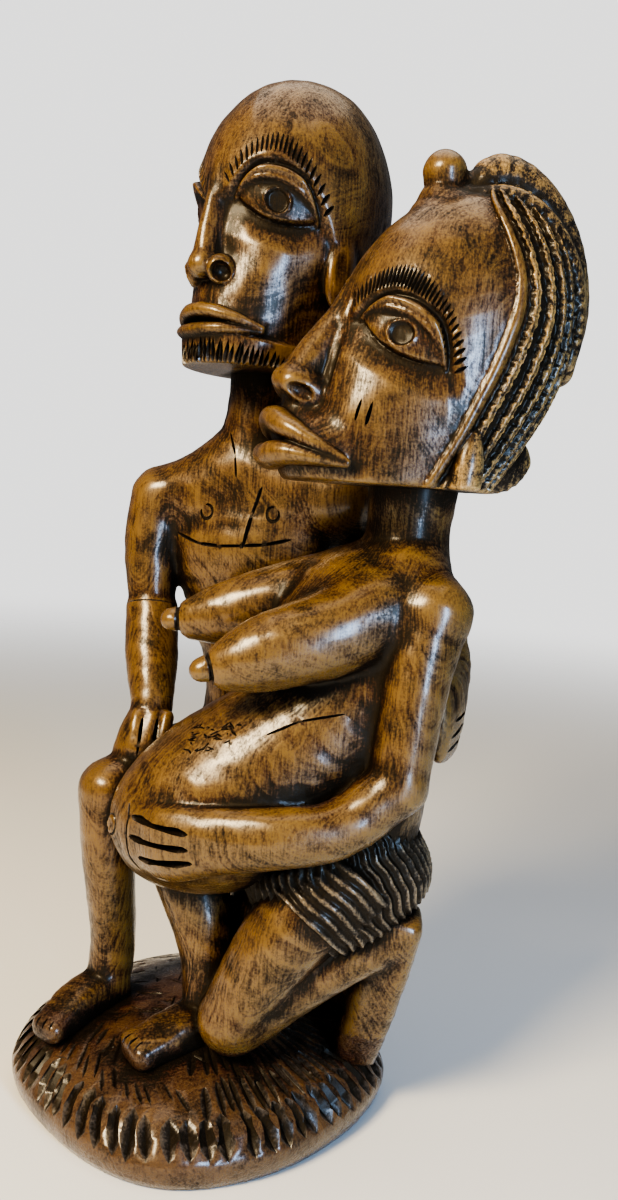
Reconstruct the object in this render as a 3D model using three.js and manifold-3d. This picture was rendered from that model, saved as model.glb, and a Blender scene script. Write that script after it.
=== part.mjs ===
// A seated man and a kneeling, expectant woman, carved with their round base from one block of hardwood.
// Millimetres, +Z up. The origin is the centre of the base's flat underside. From -Y both faces show, and
// the two look towards -X, each turned a little towards -Y. The whole carving is one solid.
import * as THREE from 'three';
import { mergeVertices } from 'three/addons/utils/BufferGeometryUtils.js';
import Module from 'manifold-3d';

const wasm = await Module();
wasm.setup();

// Base: a low rounded band, a steep gouged bevel above it and a domed top. Its outline is a little
// oval and has four blunt corners, at the front, the back and the two sides.
const BASE_RADIUS = 76;
const BASE_FOOT_RADIUS = 73;
const BASE_TOP_RADIUS = 68;
const BAND_TOP = 10.5;
const BEVEL_TOP = 20.5;
const BASE_CROWN = 35.5;
const BASE_OVAL = 2.2;
const BASE_CORNERS = 2.4;
// The dome's own rings, as radius and height.
const DOME = [[56, 26.2], [42, 30.8], [21, 34.6]];
const RIM_GOUGES = 68;
const RIM_GOUGE_DEPTH = 2.2;
const INNER_GOUGES = { count: 10, radius: 57, height: 26.4, length: 16, width: 3.4, depth: 2 };

// The man's head: placed by its centre, turn from -X towards -Y and lift of the chin.
const MAN_HEAD = { at: [15, 20, 357], turn: 45, lift: 8 };
const MAN_JAW_Z = 284;
// Level sections of his head: height, front, back, half width and where the widest place lies.
const MAN_SKULL = [
  [46, 3, 5, 4, -1],
  [41, 19, 21, 18, -1],
  [27, 33, 35, 29, -1],
  [11, 40, 42, 34.5, -2],
  [-5, 41.5, 43, 36, -3],
  [-20, 38.5, 40, 34.5, -4],
  [-35, 36, 34, 30.5, -4],
  [-50, 37, 26, 27, -2],
  [-63, 36, 18, 25, 0],
  [-80, 33, 10, 21, 2],
];
// The woman's head, with its chin lifted more.
const WOMAN_HEAD = { at: [77, -30, 303], turn: 15, lift: 18 };
const WOMAN_JAW_Z = 245;
const WOMAN_SKULL = [
  [52, 3, 7, 4, -2],
  [46, 14, 20, 14, -3],
  [36, 27, 31, 23, -4],
  [20, 37, 39, 29, -4],
  [4, 41.5, 42, 31.5, -4],
  [-12, 42, 42, 31.5, -4],
  [-27, 41, 39, 30.5, -3],
  [-42, 40, 35, 28.5, -2],
  [-56, 39, 31, 26, 0],
  [-84, 35, 24, 21, 2],
];
// The features of each face. Angles run from the middle of the face, heights up the head. The nose's
// `root` and `tip` are [forward, height]; a lip's `corner` is [forward, aside].
const MAN_FACE = {
  eye: { angle: 40, height: -15, tilt: -8, half: 16, open: 13, iris: 4.4 },
  brow: { angle: 40, height: -11, spread: 27, rise: 16, slope: -3 },
  nose: { root: [40.5, -6], tip: [43, -40], bridge: 3.4, wing: [5.5, 5, 5.2], wingAt: [35.5, 6, -41] },
  upperLip: { front: 37.5, corner: [26, 17], height: -55, droop: 2, full: 3.2, thick: 4.5 },
  lowerLip: { front: 36.5, corner: [26, 17], height: -61.5, droop: -3, full: 2.8, thick: 4 },
};
const WOMAN_FACE = {
  eye: { angle: 50, height: -17, tilt: -12, half: 16.5, open: 12.5, iris: 4.6 },
  brow: { angle: 50, height: -15, spread: 28, rise: 16, slope: -5 },
  nose: { root: [42, -10], tip: [53, -42], bridge: 3.2, wing: [7, 5, 5], wingAt: [45, 6.5, -43] },
  upperLip: { front: 47.5, corner: [22, 18], height: -57, droop: 4, full: 4.4, thick: 5.5 },
  lowerLip: { front: 44.5, corner: [22, 18], height: -67, droop: -4, full: 4.4, thick: 5.5 },
};
const EYE_ABOVE = 0.58;
const LID_START = 0.5;
const LID_DEPTH = 5;
const NOSTRIL = [7, 6, 4.5];
const BROW_STROKE = { count: 9, length: 8, width: 2, depth: 1.3, fan: 9 };
const CHEEK_SCAR = { angles: [44, 50], height: -46, length: 9, width: 1.8, depth: 1.6 };

// Her hair and wrap, and his beard.
const HAIR_THICKNESS = 3;
const BRAID_DEPTH = 2;
const BRAID_ROWS = 6;
const HAIRLINE_ANGLE = 95;
const HAIRLINE_SWEEP = 30;
const PLEATS = 28;
const PLEAT_DEPTH = 2.4;
const WRAP_HALF_LENGTH = 20;
const BEARD_LOCKS = 14;
const BEARD_REACH = 118;

// Facets round a limb, a broad body part and a head, and where the ring of a rounded end lies.
const LIMB_SIDES = 8;
const BODY_SIDES = 12;
const HEAD_SIDES = 18;
const CAP_RING = 0.72;

const vec = (x, y, z) => new THREE.Vector3(x, y, z);
const rad = THREE.MathUtils.degToRad;
const ACROSS_MAN = vec(0.966, -0.259, 0);
const ACROSS_WOMAN = vec(0.259, -0.966, 0);
const FORWARD = vec(1, 0, 0);
const ASIDE = vec(0, 1, 0);
const UPWARDS = vec(0, 0, 1);

// Turns a closed three.js geometry into a manifold solid, its doubled vertices merged.
function solidOf(geometry) {
  const bare = geometry.clone();
  bare.deleteAttribute('normal');
  bare.deleteAttribute('uv');
  const merged = mergeVertices(bare, 1e-4);
  const index = merged.index.array;
  const kept = [];
  for (let i = 0; i < index.length; i += 3) {
    const [a, b, c] = [index[i], index[i + 1], index[i + 2]];
    if (a !== b && b !== c && c !== a) {
      kept.push(a, b, c);
    }
  }
  const vertProperties = Float32Array.from(merged.attributes.position.array);
  return new wasm.Manifold(new wasm.Mesh({ numProp: 3, vertProperties, triVerts: Uint32Array.from(kept) }));
}

function fused(solids) {
  return wasm.Manifold.union(solids);
}

// A closed skin over rings of points, with a point at each end. Neighbouring rings may differ in length.
function skinOver(rings, first, last) {
  const positions = [first, ...rings.flat(), last].flatMap((p) => [p.x, p.y, p.z]);
  const starts = [];
  let next = 1;
  for (const ring of rings) {
    starts.push(next);
    next += ring.length;
  }
  const index = [];
  const at = (r, i) => starts[r] + (i % rings[r].length);
  for (let i = 0; i < rings[0].length; i += 1) {
    index.push(0, at(0, i + 1), at(0, i));
  }
  for (let r = 0; r + 1 < rings.length; r += 1) {
    const [n, m] = [rings[r].length, rings[r + 1].length];
    let [i, j] = [0, 0];
    while (i < n || j < m) {
      if (j === m || (i < n && (i + 1) / n <= (j + 1) / m)) {
        index.push(at(r, i), at(r, i + 1), at(r + 1, j));
        i += 1;
      } else {
        index.push(at(r, i), at(r + 1, j + 1), at(r + 1, j));
        j += 1;
      }
    }
  }
  const end = rings.length - 1;
  for (let i = 0; i < rings[end].length; i += 1) {
    index.push(next, at(end, i), at(end, i + 1));
  }
  const geometry = new THREE.BufferGeometry();
  geometry.setAttribute('position', new THREE.Float32BufferAttribute(positions, 3));
  geometry.setIndex(index);
  return geometry;
}

// A rounded limb through stations [x, y, z, half width, half depth]; the width runs along `across`.
function limbShape(stations, across = ACROSS_MAN, sides = LIMB_SIDES) {
  const spine = new THREE.CatmullRomCurve3(stations.map((s) => vec(s[0], s[1], s[2])), false, 'catmullrom');
  const girth = stations.map((s) => new THREE.Vector2(s[3], s[4]));
  const last = stations.length - 1;
  const ringAt = (centre, tangent, half) => {
    const wide = across.clone().addScaledVector(tangent, -across.dot(tangent)).normalize();
    const deep = tangent.clone().cross(wide);
    const ring = [];
    for (let s = 0; s < sides; s += 1) {
      const a = (2 * Math.PI * (s + 0.5)) / sides;
      const p = centre.clone().addScaledVector(wide, half.x * Math.cos(a));
      ring.push(p.addScaledVector(deep, half.y * Math.sin(a)));
    }
    return ring;
  };
  const roundEnd = (i, way) => {
    const centre = spine.points[i];
    const tangent = spine.getTangent(i / last);
    const reach = way * Math.min(girth[i].x, girth[i].y);
    const half = girth[i].clone().multiplyScalar(Math.sqrt(1 - CAP_RING ** 2));
    const ring = ringAt(centre.clone().addScaledVector(tangent, reach * CAP_RING), tangent, half);
    return { ring, pole: centre.clone().addScaledVector(tangent, reach) };
  };
  const start = roundEnd(0, -1);
  const finish = roundEnd(last, 1);
  const between = girth.map((half, i) => ringAt(spine.points[i], spine.getTangent(i / last), half));
  return skinOver([start.ring, ...between, finish.ring], start.pole, finish.pole);
}

const limb = (...shape) => solidOf(limbShape(...shape));

// An ellipsoid with its poles up and down.
function blob(centre, radii, detail) {
  const ball = new THREE.SphereGeometry(1, detail, Math.round(detail * 0.625));
  ball.rotateX(Math.PI / 2);
  ball.scale(...radii);
  ball.translate(...centre);
  return solidOf(ball);
}

// A gouge stroke: a spindle, pointed at both ends, that cuts a V into a surface.
function gouge(at, along, normal, length, width, depth) {
  const x = along.clone().normalize();
  const y = normal.clone().cross(x).normalize();
  const z = x.clone().cross(y);
  const spindle = new THREE.OctahedronGeometry(1);
  spindle.scale(length / 2, width / 2, depth);
  spindle.applyMatrix4(new THREE.Matrix4().makeBasis(x, y, z).setPosition(at));
  return solidOf(spindle);
}

// Where a head stands: +X looks out of its face, +Y is its own left and +Z its crown.
function headFrame({ at, turn, lift }) {
  const turned = new THREE.Matrix4().makeRotationZ(Math.PI + rad(turn));
  return turned.multiply(new THREE.Matrix4().makeRotationY(-rad(lift))).setPosition(...at);
}

// The point of a head's skin at an angle from the face, in degrees, and a height, lifted off by `lift`.
function skinPoint(skull, angle, height, lift = 0) {
  const last = skull.length - 1;
  let i = 0;
  while (i < last - 1 && skull[i + 1][0] > height) {
    i += 1;
  }
  const t = (skull[i][0] - height) / (skull[i][0] - skull[i + 1][0]);
  const row = (k) => skull[Math.min(Math.max(k, 0), last)];
  const spline = (c) => {
    const [p0, p1, p2, p3] = [row(i - 1)[c], row(i)[c], row(i + 1)[c], row(i + 2)[c]];
    const [v0, v1] = [(p2 - p0) / 2, (p3 - p1) / 2];
    return (2 * p1 - 2 * p2 + v0 + v1) * t ** 3 + (3 * p2 - 3 * p1 - 2 * v0 - v1) * t ** 2 + v0 * t + p1;
  };
  const [front, back, half, wide] = [1, 2, 3, 4].map(spline);
  const [c, s] = [Math.cos(rad(angle)), Math.sin(rad(angle))];
  const reach = c > 0 ? front - wide : back + wide;
  const out = vec(c / Math.max(reach, 1), s / Math.max(half, 1), 0).normalize();
  return vec(wide + reach * c + out.x * lift, half * s + out.y * lift, height);
}

function skullShape(skull, lift = 0) {
  const rings = [];
  for (let i = 0; i < skull.length; i += 1) {
    const next = skull[Math.min(i + 1, skull.length - 1)][0];
    rings.push(skull[i][0]);
    if (i < 2) {
      rings.push((skull[i][0] + next) / 2);
    }
  }
  const loops = rings.map((height) => {
    const ring = [];
    for (let s = 0; s < HEAD_SIDES; s += 1) {
      ring.push(skinPoint(skull, (-360 * s) / HEAD_SIDES, height, lift));
    }
    return ring;
  });
  const top = vec(skull[0][4], 0, skull[0][0] + 1 + lift);
  return skinOver(loops, top, vec(0, 0, rings[rings.length - 1] - 1));
}

// A lens that follows a head's skin: an almond about (angle, height), `half` long each way. `rim(s)` gives
// its lower and upper edge, `lift(s, t)` how far it stands off the skin and `sink` its depth below it.
function lensShape(skull, { angle, height, tilt, half, rim, lift, sink, cells = [6, 2] }) {
  const [nu, nv] = cells;
  const place = (s, t, off) => {
    const [low, high] = rim(s);
    const v = low + ((t + 1) / 2) * (high - low);
    const u = s * half;
    const [ct, st] = [Math.cos(rad(tilt)), Math.sin(rad(tilt))];
    const turned = angle + THREE.MathUtils.radToDeg((u * ct - v * st) / 36) * Math.sign(angle || 1);
    return skinPoint(skull, turned, height + u * st + v * ct, off);
  };
  const corners = [];
  const grid = (off) => {
    for (let j = 0; j <= nv; j += 1) {
      for (let i = 0; i <= nu; i += 1) {
        const [s, t] = [(2 * i) / nu - 1, (2 * j) / nv - 1];
        corners.push(place(s, t, off(s, t)));
      }
    }
  };
  grid((s, t) => lift(s, t));
  grid((s, t) => lift(1, 1) - sink * (1 - s * s) * (1 - t * t));
  const index = [];
  const row = nu + 1;
  const layer = row * (nv + 1);
  const flip = angle < 0;
  const quad = (a, b, c, d) => {
    index.push(...(flip ? [a, c, b, a, d, c] : [a, b, c, a, c, d]));
  };
  for (let j = 0; j < nv; j += 1) {
    for (let i = 0; i < nu; i += 1) {
      const a = j * row + i;
      quad(a, a + 1, a + row + 1, a + row);
      quad(layer + a, layer + a + row, layer + a + row + 1, layer + a + 1);
    }
  }
  const geometry = new THREE.BufferGeometry();
  const positions = corners.flatMap((p) => [p.x, p.y, p.z]);
  geometry.setAttribute('position', new THREE.Float32BufferAttribute(positions, 3));
  geometry.setIndex(index);
  return geometry;
}

const lens = (skull, options) => solidOf(lensShape(skull, options));
const bulge = (rise, edge) => (s, t) => edge + rise * (1 - s * s) * (1 - t * t);

// Both sides of a face: calls `make` with +1 for its left and -1 for its right.
const bothSides = (make) => [make(1), make(-1)];

// One eye: its hollow, the ball with a drilled iris, and the heavy upper lid.
function eyeParts(skull, eye, side) {
  const { angle, height, tilt, half, open } = eye;
  const almond = (grow) => (s) => {
    const swell = 1 - s * s;
    return [-(open * (1 - EYE_ABOVE) + grow) * swell, (open * EYE_ABOVE + grow) * swell];
  };
  const at = { angle: side * angle, height, tilt };
  const hollow = lens(skull, { ...at, half: half + 2.5, rim: almond(3.2), lift: bulge(3, 0.6), sink: 4 });
  const ball = lens(skull, { ...at, half, rim: almond(0), lift: bulge(1.4, -2.6), sink: 4 });
  const lidRim = (s) => {
    const swell = 1 - s * s;
    return [open * LID_START * swell, (open * LID_START + LID_DEPTH) * swell];
  };
  const lid = lens(skull, { ...at, half: half + 1, rim: lidRim, lift: bulge(2.2, -1.4), sink: 3 });
  const centre = skinPoint(skull, side * (angle - 1), height + 1, -0.6);
  const out = skinPoint(skull, side * (angle - 1), height + 1, 2).sub(centre).normalize();
  const drill = new THREE.CylinderGeometry(eye.iris, eye.iris, 3, 8);
  drill.rotateX(Math.PI / 2);
  const aim = new THREE.Quaternion().setFromUnitVectors(UPWARDS, out);
  drill.applyQuaternion(aim);
  drill.translate(centre.x, centre.y, centre.z);
  return { hollow, ball, lid, iris: solidOf(drill) };
}

// Short strokes fanned over an eye.
function browStrokes(skull, brow, side) {
  const { count, length, width, depth, fan } = BROW_STROKE;
  const strokes = [];
  for (let i = 0; i < count; i += 1) {
    const s = (2 * i) / (count - 1) - 1;
    const angle = side * (brow.angle + s * brow.spread);
    const height = brow.height + s * brow.slope + brow.rise * (1 - s * s);
    const root = skinPoint(skull, angle, height);
    const tip = skinPoint(skull, angle + side * s * fan, height + length * (1 - 0.35 * s * s));
    const out = skinPoint(skull, angle, height, 3).sub(root);
    const middle = root.clone().add(tip).multiplyScalar(0.5);
    strokes.push(gouge(middle, tip.sub(root), out, length, width, depth));
  }
  return strokes;
}

// A wedge of a nose with its two wings, and the cuts for the nostrils.
function nose({ root, tip, bridge, wing, wingAt }) {
  const [forward, up] = [(root[0] + tip[0]) / 2, (root[1] + tip[1]) / 2];
  const ridge = limb([
    [root[0] - 3, 0, root[1], bridge, 4],
    [forward - 3, 0, up, bridge + 1.2, 5],
    [tip[0] - 5, 0, tip[1] + 1, bridge + 3, 5],
  ], ASIDE);
  const [x, y, z] = wingAt;
  const wings = bothSides((side) => blob([x, side * y, z], wing, 8));
  const underneath = vec(1, 0, -0.6);
  const nostrils = bothSides((side) => {
    const at = vec(x + 3, side * (y + 0.5), z - 1.5);
    return gouge(at, ASIDE, underneath, ...NOSTRIL);
  });
  return { flesh: fused([ridge, ...wings]), nostrils };
}

// A lip: a roll from one corner of the mouth over the front to the other.
function lip({ front, corner, height, droop, full, thick }) {
  return limb([
    [corner[0], -corner[1], height - droop, 1.2, 1.2],
    [(front + corner[0]) / 2 + 2, -corner[1] * 0.62, height, full * 0.8, thick * 0.8],
    [front, 0, height + 0.6, full, thick],
    [(front + corner[0]) / 2 + 2, corner[1] * 0.62, height, full * 0.8, thick * 0.8],
    [corner[0], corner[1], height - droop, 1.2, 1.2],
  ], UPWARDS, 6);
}

// A block that covers everything below a height, to trim a head level above its neck.
function below(height) {
  const block = new THREE.BoxGeometry(400, 400, 200);
  block.translate(0, 0, height - 100);
  return solidOf(block);
}

function placed(solid, matrix) {
  return solid.transform(matrix.elements);
}

// A head with its features, before hair or beard: eyes let in, lips and nose standing out, brows cut.
function carvedHead(skull, face, extras, cuts) {
  const eyes = bothSides((side) => eyeParts(skull, face.eye, side));
  const brows = bothSides((side) => browStrokes(skull, face.brow, side)).flat();
  const { flesh, nostrils } = nose(face.nose);
  return fused([solidOf(skullShape(skull)), flesh, ...extras])
    .subtract(fused(eyes.map((e) => e.hollow)))
    .add(fused(eyes.flatMap((e) => [e.ball, e.lid])))
    .add(fused([lip(face.upperLip), lip(face.lowerLip)]))
    .subtract(fused([...eyes.map((e) => e.iris), ...nostrils, ...brows, ...cuts]));
}

function manHead() {
  const ears = bothSides((side) => blob([-1, side * 32, -31], [7, 4, 15], 8));
  const earCuts = bothSides((side) => [0, 1, 2].map((i) => gouge(
    vec(1, side * 35, -23 - i * 7),
    FORWARD,
    vec(0, side, 0),
    14,
    3,
    2.5,
  ))).flat();
  const head = carvedHead(MAN_SKULL, MAN_FACE, ears, earCuts).add(beardBand(MAN_SKULL));
  return placed(head, headFrame(MAN_HEAD)).subtract(below(MAN_JAW_Z));
}

// The short beard: a band round the jaw, standing proud of it and combed into upright locks.
function beardBand(skull) {
  const rows = [[-64, 0], [-68, 3], [-82, 2.6]];
  const rings = [];
  for (let i = 0; i <= 2 * BEARD_LOCKS; i += 1) {
    const angle = (BEARD_REACH * i) / BEARD_LOCKS - BEARD_REACH;
    const fade = Math.min(1, (BEARD_REACH - Math.abs(angle)) / 30);
    const comb = i % 2 ? 0 : 1;
    const outer = rows.map(([height, proud]) => {
      const lift = proud ? proud * fade - comb : 0;
      return skinPoint(skull, angle, height, lift);
    });
    const inner = [-82, -64].map((height) => skinPoint(skull, angle, height, -4));
    rings.push([...outer, ...inner]);
  }
  const centreOf = (ring) => ring.reduce((sum, p) => sum.add(p), vec(0, 0, 0)).divideScalar(ring.length);
  return solidOf(skinOver(rings, centreOf(rings[0]), centreOf(rings[rings.length - 1])));
}

function womanHead() {
  const skull = WOMAN_SKULL;
  const muzzle = blob([31, 0, -56], [17.5, 19, 18], 10);
  const { angles, height, length, width, depth } = CHEEK_SCAR;
  const scars = bothSides((side) => angles.map((angle, i) => {
    const at = skinPoint(skull, side * angle, height - i);
    const out = skinPoint(skull, side * angle, height - i, 3).sub(at);
    return gouge(at, vec(-0.25, 0, 1), out, length, width, depth);
  })).flat();
  const head = carvedHead(skull, WOMAN_FACE, [muzzle], scars).add(hair(skull));
  return placed(head, headFrame(WOMAN_HEAD)).subtract(below(WOMAN_JAW_Z));
}

// Her hair: a ribbed cap behind the ears, a rolled crest over the crown, the knob above the forehead, the
// curl at the nape and a smooth lock before each ear.
function hair(skull) {
  const points = 4 * BRAID_ROWS;
  const heights = [50, 44, 34, 18, -6, -32, -80];
  const rings = heights.map((height) => {
    const rim = HAIRLINE_ANGLE - HAIRLINE_SWEEP * Math.min(Math.max((height - 4) / 34, 0), 1) ** 2;
    const outer = [skinPoint(skull, rim, height, -1.5)];
    for (let i = 0; i <= points; i += 1) {
      const angle = rim + 2 + ((356 - 2 * rim) * i) / points;
      outer.push(skinPoint(skull, angle, height, HAIR_THICKNESS - (i % 2 ? BRAID_DEPTH : 0)));
    }
    outer.push(skinPoint(skull, -rim, height, -1.5));
    const inner = [-130, 180, 130].map((angle) => skinPoint(skull, angle, height, -4));
    return [...outer, ...inner].reverse();
  });
  const cap = solidOf(skinOver(rings, vec(-3, 0, 53.5), vec(-16, 0, -81)));
  const crest = limb([
    [12, 0, 46, 6, 5],
    [4, 0, 56, 9, 9],
    [-12, 0, 53, 11, 10],
    [-28, 0, 42, 11, 8],
    [-40, 0, 24, 10, 6],
    [-44, 0, 2, 9, 5],
  ], ASIDE);
  const knob = limb([[20, 0, 36, 10, 10], [21.5, 0, 43, 7.5, 7.5], [24, 0, 49, 8, 8]], ASIDE);
  const curl = limb([[-27, 0, -39, 10, 15], [-35, 0, -37, 6, 11], [-40, 0, -33, 3.5, 6]], ASIDE);
  const locks = bothSides((side) => limb([
    [-14, side * 27, -26, 4, 4],
    [-16, side * 27, -42, 4.5, 4.5],
    [-20, side * 25, -56, 4.5, 4.5],
  ], FORWARD, 6));
  return fused([cap, crest, curl, ...locks, knob]);
}

// A level ring of the base; every second point may be sunk, to leave a gouge between two ridges.
function baseRing(count, radius, height, sunk = 0) {
  const ring = [];
  for (let i = 0; i < count; i += 1) {
    const a = (2 * Math.PI * i) / count;
    const swell = BASE_CORNERS * Math.cos(4 * a) - BASE_OVAL * Math.cos(2 * a);
    const reach = radius * (1 + swell / BASE_RADIUS) - (i % 2 ? sunk : 0);
    ring.push(vec(reach * Math.cos(a), reach * Math.sin(a), height - (i % 2 ? sunk * 0.8 : 0)));
  }
  return ring;
}

function base() {
  const half = RIM_GOUGES / 2;
  const bevelMiddle = (BAND_TOP + BEVEL_TOP) / 2 + 0.5;
  const rings = [
    baseRing(half, BASE_FOOT_RADIUS, 0),
    baseRing(half, BASE_RADIUS - 0.7, 4),
    baseRing(half, BASE_RADIUS, BAND_TOP - 2),
    baseRing(RIM_GOUGES, BASE_RADIUS - 0.5, BAND_TOP),
    baseRing(2 * RIM_GOUGES, (BASE_RADIUS + BASE_TOP_RADIUS) / 2, bevelMiddle, RIM_GOUGE_DEPTH),
    baseRing(RIM_GOUGES, BASE_TOP_RADIUS, BEVEL_TOP),
    ...DOME.map(([radius, height]) => baseRing(half, radius, height)),
  ];
  const { count, radius, height, length, width, depth } = INNER_GOUGES;
  const strokes = [];
  for (let i = 0; i < count; i += 1) {
    const a = rad(-100 + (i * 115) / count);
    const out = vec(Math.cos(a), Math.sin(a), 0);
    const at = out.clone().multiplyScalar(radius).addScaledVector(UPWARDS, height);
    strokes.push(gouge(at, out, UPWARDS, length, width, depth));
  }
  const block = skinOver(rings, vec(0, 0, 0), vec(0, 0, BASE_CROWN));
  return solidOf(block).subtract(fused(strokes));
}

function man() {
  const trunk = limb([
    [16, 29, 122, 25, 20],
    [12, 27, 146, 22, 17],
    [10, 25, 168, 20.5, 15.5],
    [8, 22, 194, 28.5, 17],
    [6, 19, 216, 34, 18.5],
    [5, 18, 236, 36, 15],
    [4, 17, 252, 25, 14],
    [5, 17, 265, 13, 13],
    [8, 18, 294, 13, 14],
  ], ACROSS_MAN, BODY_SIDES);
  const shoulders = limb([
    [-31, 26, 236, 12, 13],
    [-13, 22, 245, 13, 12],
    [5, 18, 248, 13, 13],
    [44, 8, 240, 13, 14],
  ], ASIDE);
  const rightArm = limb([
    [-33, 26, 235, 12, 13],
    [-35, 24, 216, 11.5, 12],
    [-33, 20, 190, 10, 10.5],
    [-31, 12, 171, 10.5, 10.5],
    [-28, 1, 151, 8.5, 8],
    [-31, -8, 136, 10, 6.5],
  ]);
  const fingers = [-9, -3.2, 2.6, 8.4].map((x, i) => limb([
    [-30 + x * 0.85, -7, 137, 2.8, 3.2],
    [-31 + x, -10, 123 + i * 2, 2.5, 2.8],
  ], ACROSS_MAN, 6));
  const leftArm = limb([
    [38, 10, 238, 14, 13],
    [62, 20, 217, 11.5, 11],
    [83, 18, 197, 10, 10],
    [91, 8, 174, 12, 8],
    [90, -9, 160, 18, 6],
    [85, -22, 157, 16, 5],
  ], UPWARDS);
  const knuckles = [0, 1, 2].map((i) => gouge(
    vec(94, -10, 167 - i * 9),
    vec(0.1, -1, 0),
    vec(1, 0, 0),
    34,
    3.4,
    4.4,
  ));
  const rightLeg = [
    limb([[2, 27, 131, 17, 18], [-20, 10, 128, 13.5, 15], [-41, -8, 119, 11.5, 12]], UPWARDS),
    limb([
      [-41, -10, 119, 12, 12],
      [-41, -9, 98, 10.5, 12],
      [-38, -3, 60, 9, 10],
      [-39, -2, 42, 9, 10.5],
      [-48, -15, 33.5, 9, 7],
      [-56, -28, 28, 9.5, 5.5],
    ]),
  ];
  const leftLeg = [
    limb([[22, 22, 120, 17, 17], [0, 2, 113, 15, 15], [-15, -13, 107, 13, 13]], UPWARDS),
    limb([
      [-15, -15, 108, 13.5, 13],
      [-6, -18, 88, 14, 13],
      [2, -23, 64, 11, 11],
      [4, -27, 43.5, 9.5, 10.5],
      [-6, -37, 36.5, 9.5, 7.5],
      [-19, -46, 32.5, 10, 5.5],
    ]),
  ];
  const toes = [
    ...toeCuts(vec(-57, -30, 33), vec(-0.52, -0.85, 0)),
    ...toeCuts(vec(-21, -48, 37), vec(-0.8, -0.6, 0)),
  ];
  const seat = limb([
    [28, 31, 27, 26, 24],
    [29, 33, 48, 28, 26],
    [27, 34, 74, 26.5, 25],
    [23, 33, 108, 25, 23],
  ], ACROSS_MAN, BODY_SIDES);
  return fused([trunk, shoulders, rightArm, ...fingers, leftArm, ...rightLeg, ...leftLeg, seat])
    .subtract(fused([...knuckles, ...toes, ...chestCuts()]));
}

// The cuts between the toes of a foot, fanned about the middle of its front.
function toeCuts(tip, heading) {
  const aside = UPWARDS.clone().cross(heading);
  return [-1, 0, 1].map((i) => {
    const at = tip.clone().addScaledVector(aside, 5 * i);
    const along = heading.clone().addScaledVector(aside, 0.15 * i).setZ(-0.15);
    return gouge(at, along, UPWARDS, 22, 2.6, 4.5);
  });
}

// The edge of the chest muscles, the furrow between them, and a ring for each nipple.
function chestCuts() {
  const front = vec(-0.259, -0.966, 0);
  const under = [[-24, 5, 221, -0.25], [-8, 0.5, 217, 0], [10, -3, 217, 0.08]];
  const strokes = under.map(([x, y, z, rise]) => {
    const along = ACROSS_MAN.clone().setZ(rise);
    return gouge(vec(x, y, z), along, front, 26, 3, 2.4);
  });
  strokes.push(gouge(vec(2, 0, 230), vec(0.25, 0, 1), front, 34, 3, 2.4));
  return strokes;
}

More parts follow.
